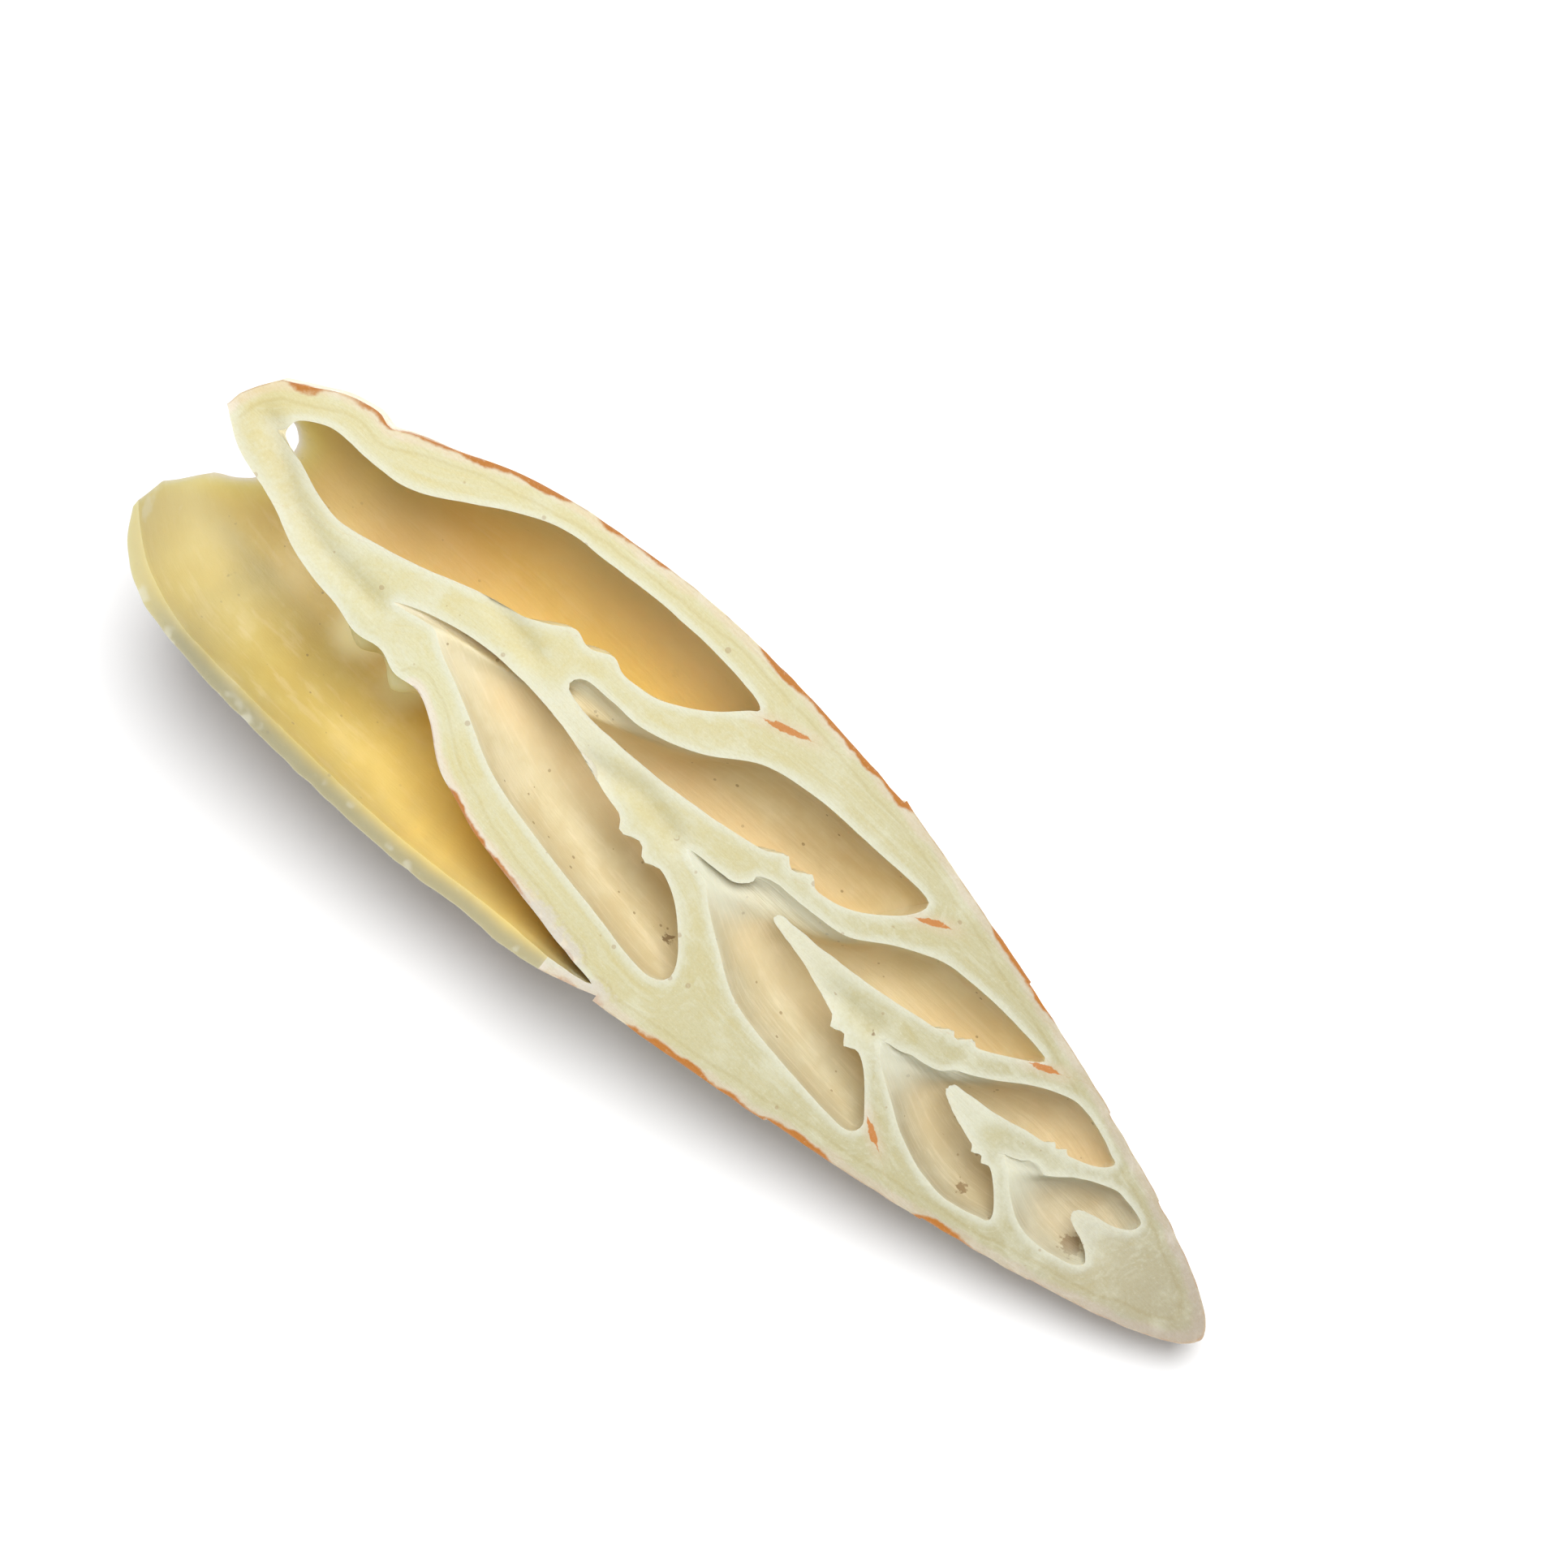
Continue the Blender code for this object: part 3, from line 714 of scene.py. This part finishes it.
def store_values(mesh):
    """Stores at each point what the materials need to know about its place on the shell."""
    co = coordinates(mesh) / MM
    t = SHELL_LENGTH / 2 - co[:, 0]
    turn = np.arctan2(-co[:, 2], co[:, 1]) / math.pi
    store(mesh, "place", np.column_stack([t, co[:, 1], co[:, 2]]))
    store(mesh, "turn", turn)
    store(mesh, "axis_distance", np.hypot(co[:, 1] - axis_bend(t), co[:, 2]))
    outer = points_of(mesh, {OUTSIDE})
    inner = points_of(mesh, {APERTURE} | set(CHAMBERS))
    lapped = points_of(mesh, {APERTURE})
    # In the aperture, the last whorl's outside was glazed over, and counts as skin there
    near_axis = np.hypot(co[lapped, 1], co[lapped, 2]) < LAPPED_RADIUS
    lapped = lapped[(co[lapped, 1] < 0) & (t[lapped] < LAPPED_END) & near_axis]
    store(mesh, "skin", distance_to(co, co[np.concatenate([outer, lapped])]))
    store(mesh, "wall", distance_to(co, co[inner]))
    sawn = points_of(mesh, {SAWN})
    store(mesh, "rim", distance_to(co, co[sawn]))
    off_lip = LIP_REACH * smooth((co[:, 1] - LIP_SIDE) / 4)
    store(mesh, "lip", np.where(turn > 0.5, distance_to(co, co[outer]), FAR) + off_lip)
    rows, turns = whorl_place(t, np.clip(turn, 0, 1))
    store(mesh, "rows", rows)
    store(mesh, "spiral", turns)
    flat = np.column_stack([t, co[:, 1]])
    distance, _, _ = nearest_along(flat, PIGMENT_EDGES)
    store(mesh, "pigment", np.exp(-((distance / PIGMENT_REACH) ** 2)))
    _, across, beyond = nearest_along(flat, BURIED_PIGMENT)
    store(mesh, "buried_across", across)
    store(mesh, "buried", np.exp(-((beyond / BURIED_REACH) ** 2)) * (np.abs(across) < BURIED_SPAN))
    middles = [(photo_place(*a) + photo_place(*b)) / 2 for a, b in BURIED_PIGMENT]
    halves = [np.linalg.norm(photo_place(*a) - photo_place(*b)) / 2 for a, b in BURIED_PIGMENT]
    shares = []
    for middle, half in zip(middles, halves):
        shares.append(1 - (np.linalg.norm(flat - middle, axis=1) / half) ** 2)
    store(mesh, "buried_middle", np.clip(np.max(shares, axis=0), 0, 1))
    dirt = np.zeros(len(co))
    for x, y, reach in DIRT_SPOTS:
        away = np.linalg.norm(flat - photo_place(x, y), axis=1) * PHOTO_SCALE / reach
        dirt = np.maximum(dirt, np.exp(-(away**2)))
    store(mesh, "dirt", dirt)
    distance, _, _ = nearest_along(flat, ERODED_EDGES)
    store(mesh, "eroded", np.exp(-((distance / ERODED_REACH) ** 2)))
    store(mesh, "crease", crease_strength(flat))
    # Where painted light brightens the fold lumps, which lie in shade
    near_folds = [np.linalg.norm(flat - photo_place(*spot), axis=1) for spot in FOLD_ENDS]
    store(mesh, "folds", np.exp(-((np.min(near_folds, axis=0) / FOLD_REACH) ** 4)))
    # The sawn face's tone: greyer towards the apex and in patches, partly older shell and partly painted
    # shade
    tone_and_shade = np.zeros((len(co), 3))
    along = smooth((t - APEX_TONE_END) / (CREAM_START - APEX_TONE_END))[:, None]
    tone_and_shade += np.array(SAWN_APEX_GREY_AND_SHADE) * (1 - along) + np.array(SAWN_CREAM) * along
    for x, y, reach, colour, strength in SAWN_TONE_AND_SHADE_PATCHES:
        middle = photo_place(x, y)
        share = strength * np.exp(-((np.linalg.norm(flat - middle, axis=1) * PHOTO_SCALE / reach) ** 2))
        tone_and_shade = tone_and_shade * (1 - share[:, None]) + np.array(colour) * share[:, None]
    store(mesh, "tone_and_shade", tone_and_shade)


class Look:
    """Writes a node material as short formulas."""

    def __init__(self, name):
        self.material = bpy.data.materials.new(name)
        self.material.use_nodes = True
        self.tree = self.material.node_tree
        self.surface = self.tree.nodes["Principled BSDF"]

    def node(self, kind, inputs=None, **settings):
        made = self.tree.nodes.new(kind)
        for key, value in settings.items():
            setattr(made, key, value)
        for key, value in (inputs or {}).items():
            self.feed(made.inputs[key], value)
        return made

    def feed(self, socket, value):
        if isinstance(value, bpy.types.NodeSocket):
            self.tree.links.new(value, socket)
        elif isinstance(value, tuple) and len(value) == 3 and socket.type == "RGBA":
            socket.default_value = (*value, 1.0)
        else:
            socket.default_value = value

    def set(self, **inputs):
        for key, value in inputs.items():
            self.feed(self.surface.inputs[key.replace("_", " ")], value)

    def value(self, name):
        return self.node("ShaderNodeAttribute", attribute_name=name).outputs["Fac"]

    def vector(self, name):
        return self.node("ShaderNodeAttribute", attribute_name=name).outputs["Vector"]

    def math(self, operation, a, b=0.0):
        return self.node("ShaderNodeMath", {0: a, 1: b}, operation=operation).outputs[0]

    def add(self, a, b):
        return self.math("ADD", a, b)

    def times(self, a, b):
        return self.math("MULTIPLY", a, b)

    def step(self, x, low, high):
        """0 below low, 1 above high, smooth between; falls instead where low is above high."""
        first, last = (0.0, 1.0) if low < high else (1.0, 0.0)
        low, high = min(low, high), max(low, high)
        return self.node("ShaderNodeMapRange", {0: x, 1: low, 2: high, 3: first, 4: last},
                         interpolation_type="SMOOTHSTEP").outputs[0]

    def mix(self, share, a, b, kind="MIX"):
        made = self.node("ShaderNodeMix", {0: share, 6: a, 7: b}, data_type="RGBA", blend_type=kind)
        return made.outputs[2]

    def stretched(self, vector, scale):
        return self.node("ShaderNodeVectorMath", {0: vector, 1: scale}, operation="MULTIPLY").outputs[0]

    def noise(self, vector, scale, detail=3.0, rough=0.5):
        return self.node("ShaderNodeTexNoise", {"Vector": vector, "Scale": scale, "Detail": detail,
                                                "Roughness": rough}).outputs["Fac"]

    def bump(self, height, strength, distance, under=None):
        inputs = {"Height": height, "Strength": strength, "Distance": distance * MM}
        if under is not None:
            inputs["Normal"] = under
        return self.node("ShaderNodeBump", inputs).outputs["Normal"]

    def specks(self, place, scale, least, most, seed):
        """Small round spots, spread at random."""
        shift = (seed, seed * 0.7, -seed)
        moved = self.node("ShaderNodeVectorMath", {0: place, 1: shift}, operation="ADD").outputs[0]
        cells = self.node("ShaderNodeTexVoronoi", {"Vector": moved, "Scale": scale, "Randomness": 1.0})
        chance = self.node("ShaderNodeTexWhiteNoise", {"Vector": cells.outputs["Position"]}).outputs["Value"]
        size = self.times(self.step(chance, least, most), 0.42)
        return self.step(self.math("SUBTRACT", size, cells.outputs["Distance"]), 0.0, 0.08)


def sawn_look():
    look = Look("sawn_face")
    place = look.vector("place")
    skin, wall = look.value("skin"), look.value("wall")
    grain = look.noise(place, 2.2, 3.0)
    cloud = look.noise(place, 0.22, 4.0, 0.6)
    # Growth layers run along the walls, yellower in the middle and paler towards the glazed sides
    drift = look.times(look.noise(place, 0.12, 1.0), 2.5)
    run = {0: look.times(wall, 2.6), 1: drift, 2: look.times(skin, 1.6)}
    layers = look.noise(look.node("ShaderNodeCombineXYZ", run).outputs[0], 1.0, 2.5)
    core = look.times(look.step(look.add(wall, look.times(grain, 0.5)), 0.5, 1.25),
                      look.step(look.add(skin, look.times(grain, 0.5)), 0.7, 1.3))
    # Base colour: darker towards the apex and in a few patches, partly the shell's own colour, partly painted
    # shade
    colour = look.vector("tone_and_shade")
    colour = look.mix(look.times(core, look.add(0.05, look.times(cloud, 0.9))), colour, SAWN_CORE, "MULTIPLY")
    near_wall = look.step(wall, 4.0, 2.0)
    pale_layer = look.times(look.times(look.step(layers, 0.5, 0.68), 0.22), near_wall)
    colour = look.mix(pale_layer, colour, SAWN_PALE)
    yellow_layer = look.times(look.times(look.step(layers, 0.47, 0.30), 0.3), near_wall)
    colour = look.mix(yellow_layer, colour, SAWN_CORE, "MULTIPLY")
    glazed_side = look.step(look.add(wall, look.times(grain, 0.3)), 0.95, 0.15)
    colour = look.mix(look.times(glazed_side, 0.6), colour, SAWN_RIM)
    pale_cloud = look.step(look.noise(place, 0.3, 4.0, 0.6), 0.48, 0.7)
    colour = look.mix(look.times(pale_cloud, 0.35), colour, SAWN_PALE)
    # Painted shade along the shallow creases
    colour = look.mix(look.times(look.value("crease"), 0.35), colour, SAWN_LINE_AND_CREASE_SHADE, "MULTIPLY")
    # A thin seam between the outer layers and the middle of the wall
    depth = look.add(SEAM_DEPTH, look.times(look.noise(place, 0.18, 2.0), SEAM_SWING))
    seam = look.math("SUBTRACT", skin, depth)
    seam = look.times(look.step(look.math("ABSOLUTE", seam), 0.22, 0.02), look.step(wall, 0.2, 0.6))
    colour = look.mix(look.times(seam, 0.3), colour, SAWN_LINE_AND_CREASE_SHADE, "MULTIPLY")
    # Outer layer: pinkish, with orange-red pigment where a colour spot of the outside was sawn through
    thick = look.add(OUTER_LAYER, look.times(look.noise(place, 0.5, 2.0), OUTER_SWING))
    outer_layer = look.step(look.math("SUBTRACT", skin, thick), 0.3, -0.2)
    colour = look.mix(look.times(outer_layer, 0.7), colour, OUTER_TINT, "MULTIPLY")
    near = look.value("pigment")
    uneven = look.add(look.times(look.step(look.noise(place, 0.35, 2.0), 0.3, 0.75), 0.6), 0.22)
    reach = look.add(look.times(near, uneven), -0.1)
    pigment = look.step(look.math("SUBTRACT", look.add(skin, look.times(grain, 0.3)), reach), 0.3, 0.0)
    pigment = look.times(pigment, look.step(look.times(near, look.add(grain, 0.5)), 0.25, 0.6))
    colour = look.mix(look.times(pigment, 0.95), colour, PIGMENT)
    # Pigment of an older whorl's outside, buried in the wall: short lines with a pinkish halo
    across = look.add(look.value("buried_across"), look.times(look.add(grain, -0.5), 0.5))
    across = look.math("ABSOLUTE", across)
    line = look.math("SUBTRACT", look.times(look.value("buried_middle"), BURIED_WIDTH), across)
    line = look.step(line, -0.03, 0.06)
    halo = look.times(look.times(look.step(across, 1.0, 0.2), look.value("buried")), 0.35)
    colour = look.mix(halo, colour, OUTER_PINK)
    colour = look.mix(look.times(line, 0.85), colour, PIGMENT_BURIED)
    edge = look.times(look.step(skin, 0.16, 0.02), look.step(look.noise(place, 0.8, 2.0), 0.35, 0.6))
    colour = look.mix(look.times(edge, 0.5), colour, EDGE_BROWN)
    # Chalky eroded crust, crumbs and fine mottling
    worn_skin = look.step(look.math("SUBTRACT", skin, look.times(grain, 2.2)), 0.3, -0.5)
    crust = look.times(look.value("eroded"), worn_skin)
    crust = look.times(crust, look.step(look.noise(place, 1.1, 3.0), 0.32, 0.5))
    colour = look.mix(look.times(crust, 0.85), colour, CRUST)
    specks = look.specks(place, 1.6, 0.955, 1.0, 3.0)
    colour = look.mix(look.times(specks, 0.4), colour, SPECK_BROWN)
    colour = dirty(look, colour)
    mottle = look.noise(place, 3.6, 4.0, 0.7)
    colour = look.mix(look.times(look.step(mottle, 0.52, 0.38), 0.16), colour, SAWN_LINE_AND_CREASE_SHADE, "MULTIPLY")
    colour = look.mix(look.times(look.step(mottle, 0.56, 0.70), 0.16), colour, SAWN_FLECK)
    # Saw marks and chipped grain
    saw = look.noise(look.stretched(place, (0.35, 5.0, 0.35)), 1.6, 3.0)
    grit = look.noise(place, 7.0, 3.0)
    normal = look.bump(look.add(look.times(saw, 0.5), look.times(grit, 0.5)), 0.4, 0.05)
    normal = look.bump(layers, 0.3, 0.05, normal)
    look.set(Base_Color=colour, Normal=normal)
    look.feed(look.surface.inputs["Roughness"], look.add(0.38, look.times(grit, 0.25)))
    look.surface.inputs["Specular IOR Level"].default_value = SAWN_GLOSS
    waxy(look, *SAWN_WAX)
    return look.material


def waxy(look, weight, colour, reach):
    """Light that enters the shell and comes out a little further on."""
    inputs = look.surface.inputs
    inputs["Subsurface Weight"].default_value = weight
    inputs["Subsurface Radius"].default_value = colour
    inputs["Subsurface Scale"].default_value = reach * MM
    inputs["IOR"].default_value = SHELL_IOR


def dirty(look, colour):
    """The colour with a few crumbs of dirt where the photograph shows them."""
    crumbs = look.add(look.times(look.noise(look.vector("place"), 3.2, 3.0), 1.4), -0.7)
    return look.mix(look.times(look.step(look.add(look.value("dirt"), crumbs), 0.45, 0.7), 0.8), colour, DIRT)


def glaze_look(name, first, last, gloss, painted_glow_share=PAINTED_GLOW_SHARE):
    """Inside of a whorl, from its colour on the closed side to its colour on the aperture side."""
    look = Look(name)
    place = look.vector("place")
    turn = look.value("turn")
    parts = look.node("ShaderNodeSeparateXYZ", {0: place}).outputs
    colour = look.mix(look.step(turn, 0.1, 0.9), first, last)
    drift = look.times(look.noise(place, 0.3), 1.5)
    run = {0: look.times(parts[0], 0.12), 1: look.times(turn, GLAZE_LINES), 2: drift}
    lines = look.noise(look.node("ShaderNodeCombineXYZ", run).outputs[0], 1.6, 4.0, 0.6)
    clouds = look.noise(place, 0.28, 4.0, 0.55)
    colour = look.mix(look.times(look.step(clouds, 0.62, 0.36), 0.4), colour, GLAZE_SHADE, "MULTIPLY")
    colour = look.mix(look.times(look.step(clouds, 0.5, 0.72), 0.16), colour, GLAZE_PALE)
    colour = look.mix(look.times(look.step(lines, 0.5, 0.66), 0.16), colour, GLAZE_PALE)
    specks = look.specks(place, 2.6, 0.965, 1.0, 5.0)
    colour = look.mix(look.times(specks, 0.6), colour, GLAZE_SPECK)
    colour = dirty(look, colour)
    rim = look.step(look.value("rim"), 0.9, 0.1)
    colour = look.mix(look.times(rim, 0.35), colour, SAWN_RIM)
    # Deep under the axis the glaze gets a painted warm glow, standing in for light bounced and shone through
    # the walls; the shallow valleys beside it are pale like the sawn face
    sideways = look.math("ABSOLUTE", parts[1])
    painted_light_mask = look.times(look.step(parts[2], -1.8, -3.4), look.step(sideways, 5.5, 2.5))
    colour = look.mix(look.times(painted_light_mask, painted_glow_share), colour, GLAZE_PAINTED_GLOW)
    shallow = look.times(look.step(parts[2], -3.2, -1.5), look.step(sideways, 3.6, 1.6))
    shallow = look.times(shallow, look.step(parts[0], *VALLEY_ZONE))
    colour = look.mix(look.times(shallow, 0.8), colour, SAWN_PALE)
    normal = look.bump(lines, 0.4, 0.12)
    normal = look.bump(look.noise(place, 4.0, 3.0), 0.25, 0.05, normal)
    look.set(Base_Color=colour, Normal=normal)
    look.feed(look.surface.inputs["Roughness"], look.add(0.5 - gloss, look.times(clouds, 0.2)))
    waxy(look, *GLAZE_WAX)
    return look


def aperture_look():
    """The last whorl's inside: ochre on the closed side, painted lighter towards the apex, yellow to orange
    behind the lip, dull at its rim with painted shade and painted highlights, and painted light on the canal
    wall and the fold lumps.
    """
    look = glaze_look("aperture_glaze", APERTURE_DEEP, APERTURE_YELLOW, APERTURE_GLOSS)
    place = look.vector("place")
    parts = look.node("ShaderNodeSeparateXYZ", {0: place}).outputs
    colour = look.surface.inputs["Base Color"].links[0].from_socket
    along = look.add(parts[0], look.times(look.add(look.noise(place, 0.15, 2.0), -0.5), 12.0))
    colour = look.mix(look.times(look.step(along, *ORANGE_ZONE), 0.85), colour, APERTURE_ORANGE)
    colour = look.mix(look.times(look.step(along, *PALE_ZONE), 0.6), colour, APERTURE_PALE)
    closed_side = look.step(look.value("turn"), 0.45, 0.1)
    # Painted light: the closed side's ochre is lighter towards the apex, where the space lies deeper in shade
    body = look.mix(look.step(parts[0], *BODY_LIGHT_ZONE), BODY_OCHRE, BODY_PAINTED_LIGHT)
    canal = look.times(look.step(parts[0], *CANAL_ZONE), look.step(look.value("turn"), 0.55, 0.4))
    colour = look.mix(canal, colour, CANAL_OCHRE)
    colour = look.mix(look.times(closed_side, 0.9), colour, body)
    # Painted light on the canal's wall near the axis, where it lies in shade
    painted_light_mask = look.step(look.value("axis_distance"), 3.1, 2.3)
    painted_light_mask = look.times(painted_light_mask, look.step(look.value("turn"), 0.8, 0.65))
    painted_light_mask = look.times(painted_light_mask, look.step(parts[0], *LIT_ZONE))
    colour = look.mix(look.times(painted_light_mask, 0.8), colour, CANAL_LIT)
    # The lip's rim: translucent grey, darkened as painted shade where it curves away
    rim = look.mix(look.step(parts[0], *LIP_TOP_ZONE), LIP_RIM_GREY_AND_SHADE, LIP_TOP)
    colour = look.mix(look.times(look.step(look.value("lip"), 2.6, 0.3), 0.85), colour, rim)
    # Painted highlights: a few white glints on the lip
    painted_glints = look.step(look.noise(place, 0.5, 2.0), 0.60, 0.72)
    painted_glints = look.times(painted_glints, look.step(look.value("lip"), 1.5, 0.6))
    colour = look.mix(look.times(painted_glints, 0.45), colour, LIP_PAINTED_GLINT)
    # Painted light on the fold lumps, which lie in shade under the columella
    colour = look.mix(look.times(look.value("folds"), 0.9), colour, FOLD_PAINTED_LIGHT)
    look.set(Base_Color=colour)
    return look.material


def outside_look():
    look = Look("outside")
    place = look.vector("place")
    rows, spiral = look.value("rows"), look.value("spiral")
    warp = look.noise(place, 0.35, 2.0)
    # Spots: one in each cell of a warped grid of rows and turns, each row shifted against the next
    u = look.add(look.times(spiral, SPOTS_PER_TURN), look.times(warp, 0.7))
    v = look.add(look.times(rows, SPOT_ROWS), look.times(look.noise(place, 0.5, 2.0), 0.35))
    u = look.add(u, look.times(look.math("FLOOR", v), ROW_SHIFT))
    corner = {0: look.math("FLOOR", u), 1: look.math("FLOOR", v), 2: 0.5}
    cell = look.node("ShaderNodeCombineXYZ", corner).outputs[0]
    chance = look.node("ShaderNodeTexWhiteNoise", {"Vector": cell}).outputs["Value"]
    across = look.math("ABSOLUTE", look.add(look.math("FRACT", u), -0.5))
    down = look.math("ABSOLUTE", look.add(look.math("FRACT", v), -0.5))
    grain = look.noise(place, 1.4, 4.0, 0.6)
    size = look.add(0.08, look.times(chance, 0.34))
    cubes = look.add(look.math("POWER", across, 3.0), look.math("POWER", down, 3.0))
    outline = look.add(look.math("POWER", cubes, 0.333), look.times(grain, 0.3))
    spot = look.step(look.math("SUBTRACT", outline, size), 0.18, 0.06)
    colour = look.mix(look.step(look.noise(place, 0.16, 4.0, 0.6), 0.35, 0.68), OUTSIDE_CREAM, OUTSIDE_WARM)
    colour = look.mix(look.times(spot, look.add(0.6, look.times(grain, 0.4))), colour, PIGMENT)
    run = {0: look.times(rows, 1.4), 1: look.times(spiral, LINES_PER_TURN), 2: warp}
    lines = look.noise(look.node("ShaderNodeCombineXYZ", run).outputs[0], 1.0, 4.0, 0.65)
    colour = look.mix(look.times(look.step(lines, 0.56, 0.7), 0.3), colour, GROWTH_BROWN)
    chalk = look.times(look.step(look.noise(place, 0.3, 5.0, 0.65), 0.56, 0.64), 0.7)
    colour = look.mix(chalk, colour, CHALK)
    seam = look.step(look.math("ABSOLUTE", rows), 0.05, 0.0)
    colour = look.mix(look.times(seam, 0.5), colour, EDGE_BROWN)
    down_whorl = look.node("ShaderNodeCombineXYZ", {0: look.times(rows, THREADS), 1: 0.0, 2: 0.0}).outputs[0]
    waves = {"Vector": down_whorl, "Scale": 1.0, "Distortion": 0.4}
    threads = look.node("ShaderNodeTexWave", waves).outputs["Fac"]
    normal = look.bump(lines, 0.5, 0.15)
    normal = look.bump(threads, 0.12, 0.12, normal)
    normal = look.bump(grain, 0.25, 0.1, normal)
    look.set(Base_Color=colour, Normal=normal)
    look.feed(look.surface.inputs["Roughness"], look.add(0.34, look.times(grain, 0.3)))
    waxy(look, *OUTSIDE_WAX)
    return look.material


OUTSIDE, SAWN, APERTURE = 0, 1, 2
CHAMBERS = (3, 4, 5, 6)

looks = [outside_look(), sawn_look(), aperture_look()]
for k, (first, last) in enumerate(CHAMBER_COLOURS):
    glaze = glaze_look(f"chamber_glaze_{k + 1}", first, last, CHAMBER_GLOSS, PAINTED_GLOW_SHARE - PAINTED_GLOW_STEP * k)
    looks.append(glaze.material)

shell = shell_body(looks[OUTSIDE])
spaces = [aperture_turn(looks[APERTURE])] + [chamber_turn(k, looks[CHAMBERS[k]]) for k in range(4)]
rough = block_above("rough_half", CUT_DEPTH / 2, looks[SAWN])
saw = block_above("sawn_off_half", CUT_DEPTH, looks[SAWN])
for cutter in [rough] + spaces + [saw]:
    cut(shell, cutter)
kept_result(shell, rough, saw, *spaces)
grid_sawn_face(shell.data, SAWN)
press_creases(shell.data)
store_values(shell.data)
pitched = Matrix.Rotation(math.radians(REST_PITCH), 4, "Y")
rolled = Matrix.Rotation(math.radians(REST_ROLL), 4, "X")
rest = Matrix.Translation([c * MM for c in LIFT]) @ pitched @ rolled
shell.data.transform(rest)
shell.data.shade_smooth()
shell.data.set_sharp_from_angle(angle=math.radians(SHARP_ANGLE))
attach(shell, "root")
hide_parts("split_miter_shell")


def table_and_light():
    """A wide pale table top, a soft key light from beyond the picture's top and weaker light all round."""
    bpy.ops.mesh.primitive_plane_add(size=TABLE_SIZE)
    floor = bpy.context.object
    floor.name = "table_top"
    look = Look("table")
    place = look.node("ShaderNodeTexCoord").outputs["Object"]
    tint = look.noise(place, 3.0, 3.0)
    look.set(Base_Color=look.mix(look.times(tint, 0.3), TABLE_PALE, TABLE_TINT))
    look.surface.inputs["Roughness"].default_value = TABLE_ROUGHNESS
    floor.data.materials.append(look.material)

    world = bpy.data.worlds.new("room")
    bpy.context.scene.world = world
    world.use_nodes = True
    back = world.node_tree.nodes["Background"]
    back.inputs["Color"].default_value = ROOM_COLOUR
    back.inputs["Strength"].default_value = ROOM_LIGHT

    lamp = bpy.data.lights.new("key", "AREA")
    lamp.shape = "DISK"
    lamp.size = KEY_SIZE
    lamp.energy = KEY_POWER
    thing = bpy.data.objects.new("key", lamp)
    bpy.context.scene.collection.objects.link(thing)
    right, up, towards = camera_axes()
    way = (right * KEY_WAY[0] + up * KEY_WAY[1] + towards * KEY_WAY[2]).normalized()
    thing.location = way * KEY_DISTANCE
    thing.rotation_euler = way.to_track_quat("Z", "Y").to_euler()


def camera_axes():
    """Right, up and towards the camera in the picture, as directions in the row frame."""
    turn = (pitched @ rolled).to_3x3()
    return [turn @ Vector(way) for way in (PICTURE_RIGHT, PICTURE_UP, (0, 0, 1))]


def camera():
    right, up, back = camera_axes()
    aim = rest @ (Vector(CAMERA_AIM) * MM)
    lens = bpy.data.cameras.new("camera")
    lens.sensor_width = SENSOR_WIDTH
    lens.lens = SENSOR_WIDTH * CAMERA_DISTANCE / FRAME_WIDTH
    lens.clip_start = 0.01
    thing = bpy.data.objects.new("camera", lens)
    bpy.context.scene.collection.objects.link(thing)
    thing.matrix_world = Matrix.Translation(aim + back * CAMERA_DISTANCE * MM) @ Matrix(
        (right, up, back)).transposed().to_4x4()
    bpy.context.scene.camera = thing


table_and_light()
camera()
bpy.context.scene.view_settings.view_transform = "Standard"
